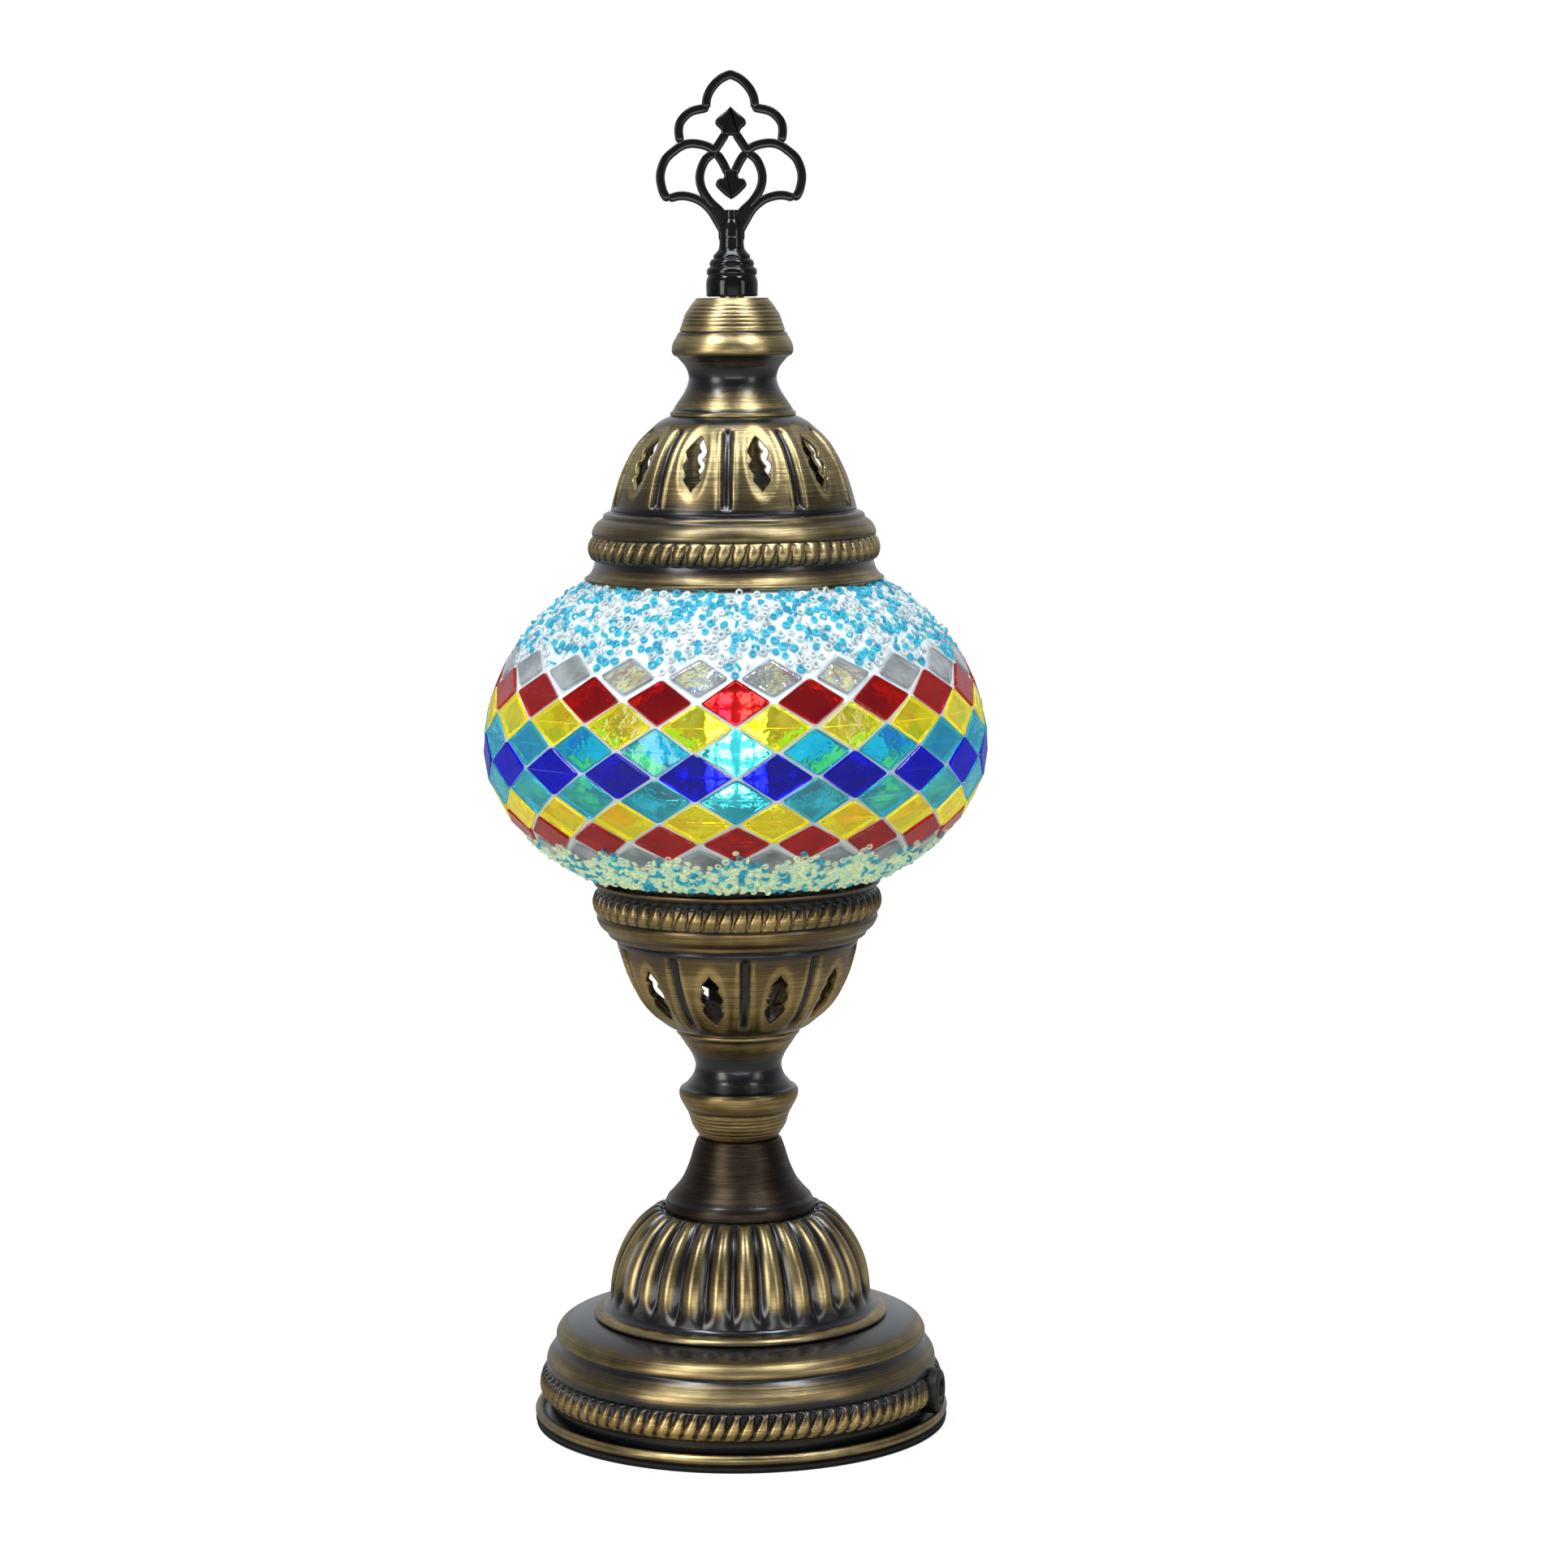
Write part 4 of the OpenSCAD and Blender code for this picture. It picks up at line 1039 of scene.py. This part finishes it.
def seed_beads(high, gap, end, names, materials, shares, node):
    """Tiny ring-shaped beads pressed at all angles into the grout."""
    heaps = [Heap() for _ in names]
    cols, ring = 12, 6
    for a, z in scattered(high, gap, end):
        which = random.choices(range(len(names)), shares)[0]
        out, across, up = globe_frame(a, z)
        tilt = random.uniform(-0.4, 0.4) if random.random() < 0.86 else random.uniform(1.0, 1.5)
        turn = Matrix.Rotation(random.uniform(0, TAU), 3, out) @ Matrix.Rotation(tilt, 3, across)
        axis, e1, e2 = turn @ out, turn @ across, turn @ up
        centre = Vector(on_globe(a, z, 0.5 if high else 0.2))
        size = random.uniform(0.85, 1.12)
        big, thin = BEAD_R[high] * size, BEAD_WIRE * size
        verts = []
        for i in range(cols):
            u = TAU * i / cols
            spoke = e1 * math.cos(u) + e2 * math.sin(u)
            for j in range(ring):
                w = TAU * j / ring
                verts.append(centre + spoke * (big + thin * math.cos(w)) + axis * thin * 1.25 * math.sin(w))
        faces = [[i * ring + j, (i + 1) % cols * ring + j, (i + 1) % cols * ring + (j + 1) % ring,
                  i * ring + (j + 1) % ring] for i in range(cols) for j in range(ring)]
        heaps[which].add(verts, faces)
    for index, (name, heap, material) in enumerate(zip(names, heaps, materials)):
        obj = heap.make(name, "globe", material, replaces=[node] if not index else ())
        recalculate_normals(obj.data)


# ---------------------------------------------------------------- carried-over CAD nodes
FINISHES = {
    "globe_glass": GLOBE_GLASS, "bulb_cover": BULB_COVER, "bulb_housing": WHITE_PLASTIC,
    "bulb_screw_cap": STEEL, "bulb_insulator": BLACK_PLASTIC, "bulb_tip_contact": CONTACT,
    "led_core": BOARD, "led_chips": PHOSPHOR, "holder_base": BLACK_PLASTIC,
    "holder_sleeve": BLACK_PLASTIC, "holder_insert": BLACK_PLASTIC, "holder_screw_shell": CONTACT,
    "holder_centre_contact": CONTACT, "holder_side_contact": CONTACT,
    "holder_terminal_screws": CONTACT, "terminal_block": WHITE_PLASTIC, "terminal_screws": STEEL,
    "live_lead": BROWN_LEAD, "neutral_lead": BLUE_LEAD, "centre_rod": STEEL, "rod_nuts": STEEL,
    "rod_washers": STEEL, "cup_gasket": RUBBER, "cap_stud": STEEL, "cap_nuts": STEEL,
    "clip_spider": SPRING,
}


def finish_nodes():
    """Gives every CAD node that is carried over its own material."""
    for node, material in FINISHES.items():
        mesh = NODES[node].data
        mesh.materials.clear()
        mesh.materials.append(material)


# ---------------------------------------------------------------- stage, light and camera
def floor():
    """A pale floor that glows with painted light for camera rays, fainter round the lamp's foot and
    brighter further out; all other rays see it darker.
    """
    size = 3500.0
    verts = [(x, y, 0.0) for y in (-size, size) for x in (-size, size)]
    mesh = bpy.data.meshes.new("studio_floor")
    mesh.from_pydata((np.array(verts) * MM).tolist(), [], [[0, 1, 3, 2]])
    obj = add_object("studio_floor", mesh)
    n = Nodes("floor")
    path = n.add("LightPath").outputs
    seen = n.math("MAXIMUM", path["Is Camera Ray"], path["Is Transmission Ray"])
    distance = n.add("VectorMath", {"Vector": n.add("TexCoord").outputs["Object"]},
                     operation="LENGTH").outputs["Value"]
    # painted light: the glow runs from half strength beside the lamp to nearly full 75 cm out
    painted_glow = n.remap(distance, 0.08, 0.75, 0.5, 0.97)
    n.shade(Base_Color=n.mix(seen, rgb(0.4, 0.38, 0.35), rgb(0.8, 0.8, 0.8)), Roughness=0.9,
            Emission_Color=rgb(1, 1, 1), Emission_Strength=n.math("MULTIPLY", seen, painted_glow))
    mesh.materials.append(n.material)
    obj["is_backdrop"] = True


def area_light(name, where, size, power, colour=(1, 1, 1)):
    light = bpy.data.lights.new(name, "AREA")
    light.shape = "RECTANGLE"
    light.size, light.size_y = size
    light.energy = power
    light.color = colour
    obj = add_object(name, light)
    obj.location = where
    obj.rotation_euler = (Vector((0, 0, 0.16)) - obj.location).to_track_quat("-Z", "Y").to_euler()
    return obj


def studio():
    """Soft lamps above and in front, in a white room that is dimmer in reflections."""
    floor()
    area_light("window_left", (-0.5, -0.45, 1.2), (0.22, 0.42), 6.5, (0.9, 0.96, 1.0))
    area_light("window_right", (0.46, -0.4, 1.2), (0.22, 0.42), 6, (0.9, 0.96, 1.0))
    area_light("skylight", (0.0, -0.03, 1.35), (0.75, 0.25), 6.5, (0.86, 0.94, 1.0))
    area_light("front_left", (-1.1, -1.1, 0.45), (0.5, 0.9), 9, (1.0, 0.97, 0.9))
    area_light("front_right", (1.2, -1.0, 0.4), (0.35, 0.9), 3.5, (1.0, 0.98, 0.94))
    area_light("low_fill", (0.1, -1.3, 0.08), (1.2, 0.14), 3.0)
    world = bpy.data.worlds.new("studio")
    bpy.context.scene.world = world
    world.use_nodes = True
    n = Nodes.of(world.node_tree)
    path = n.add("LightPath").outputs
    direct = n.math("MAXIMUM", path["Is Camera Ray"], path["Is Transmission Ray"])
    way = n.add("SeparateXYZ", {"Vector": n.add("TexCoord").outputs["Generated"]}).outputs["Y"]
    room = n.mix(n.remap(way, 0.0, 0.9), rgb(0.15, 0.155, 0.165), rgb(0.5, 0.53, 0.56))
    n.set(world.node_tree.nodes["Background"].inputs["Color"], n.mix(direct, room, rgb(1, 1, 1)))
    bpy.context.scene.view_settings.view_transform = "Standard"


def camera():
    """The camera at the photo's viewing angle, a little above the lamp's middle."""
    data = bpy.data.cameras.new("camera")
    data.lens = 93.2
    data.sensor_width = 36
    obj = add_object("camera", data)
    obj.location = (0, -1.0036, 0.2845)
    pitch, yaw, roll = math.radians(83), math.radians(-0.68), math.radians(-0.4)
    obj.rotation_euler = (Matrix.Rotation(yaw, 3, "Z") @ Matrix.Rotation(pitch, 3, "X")
                          @ Matrix.Rotation(roll, 3, "Z")).to_euler()
    bpy.context.scene.camera = obj


fluted_dome()
base_pieces()
cord_inlet()
stem_and_cap()
finial()
mosaic()
seed_beads(True, 1.95, 212.4, ["beads_upper_blue", "beads_upper_clear"], [BEAD_BLUE, BEAD_CLEAR],
           [0.55, 0.45], "beads_upper")
seed_beads(False, 1.4, 139.6, ["beads_lower_pale", "beads_lower_blue"], [BEAD_PALE, BEAD_BLUE],
           [0.78, 0.22], "beads_lower")
finish_nodes()
studio()
camera()

new_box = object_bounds()
[[list(corner) for corner in box] for box in (cad_box, new_box)]
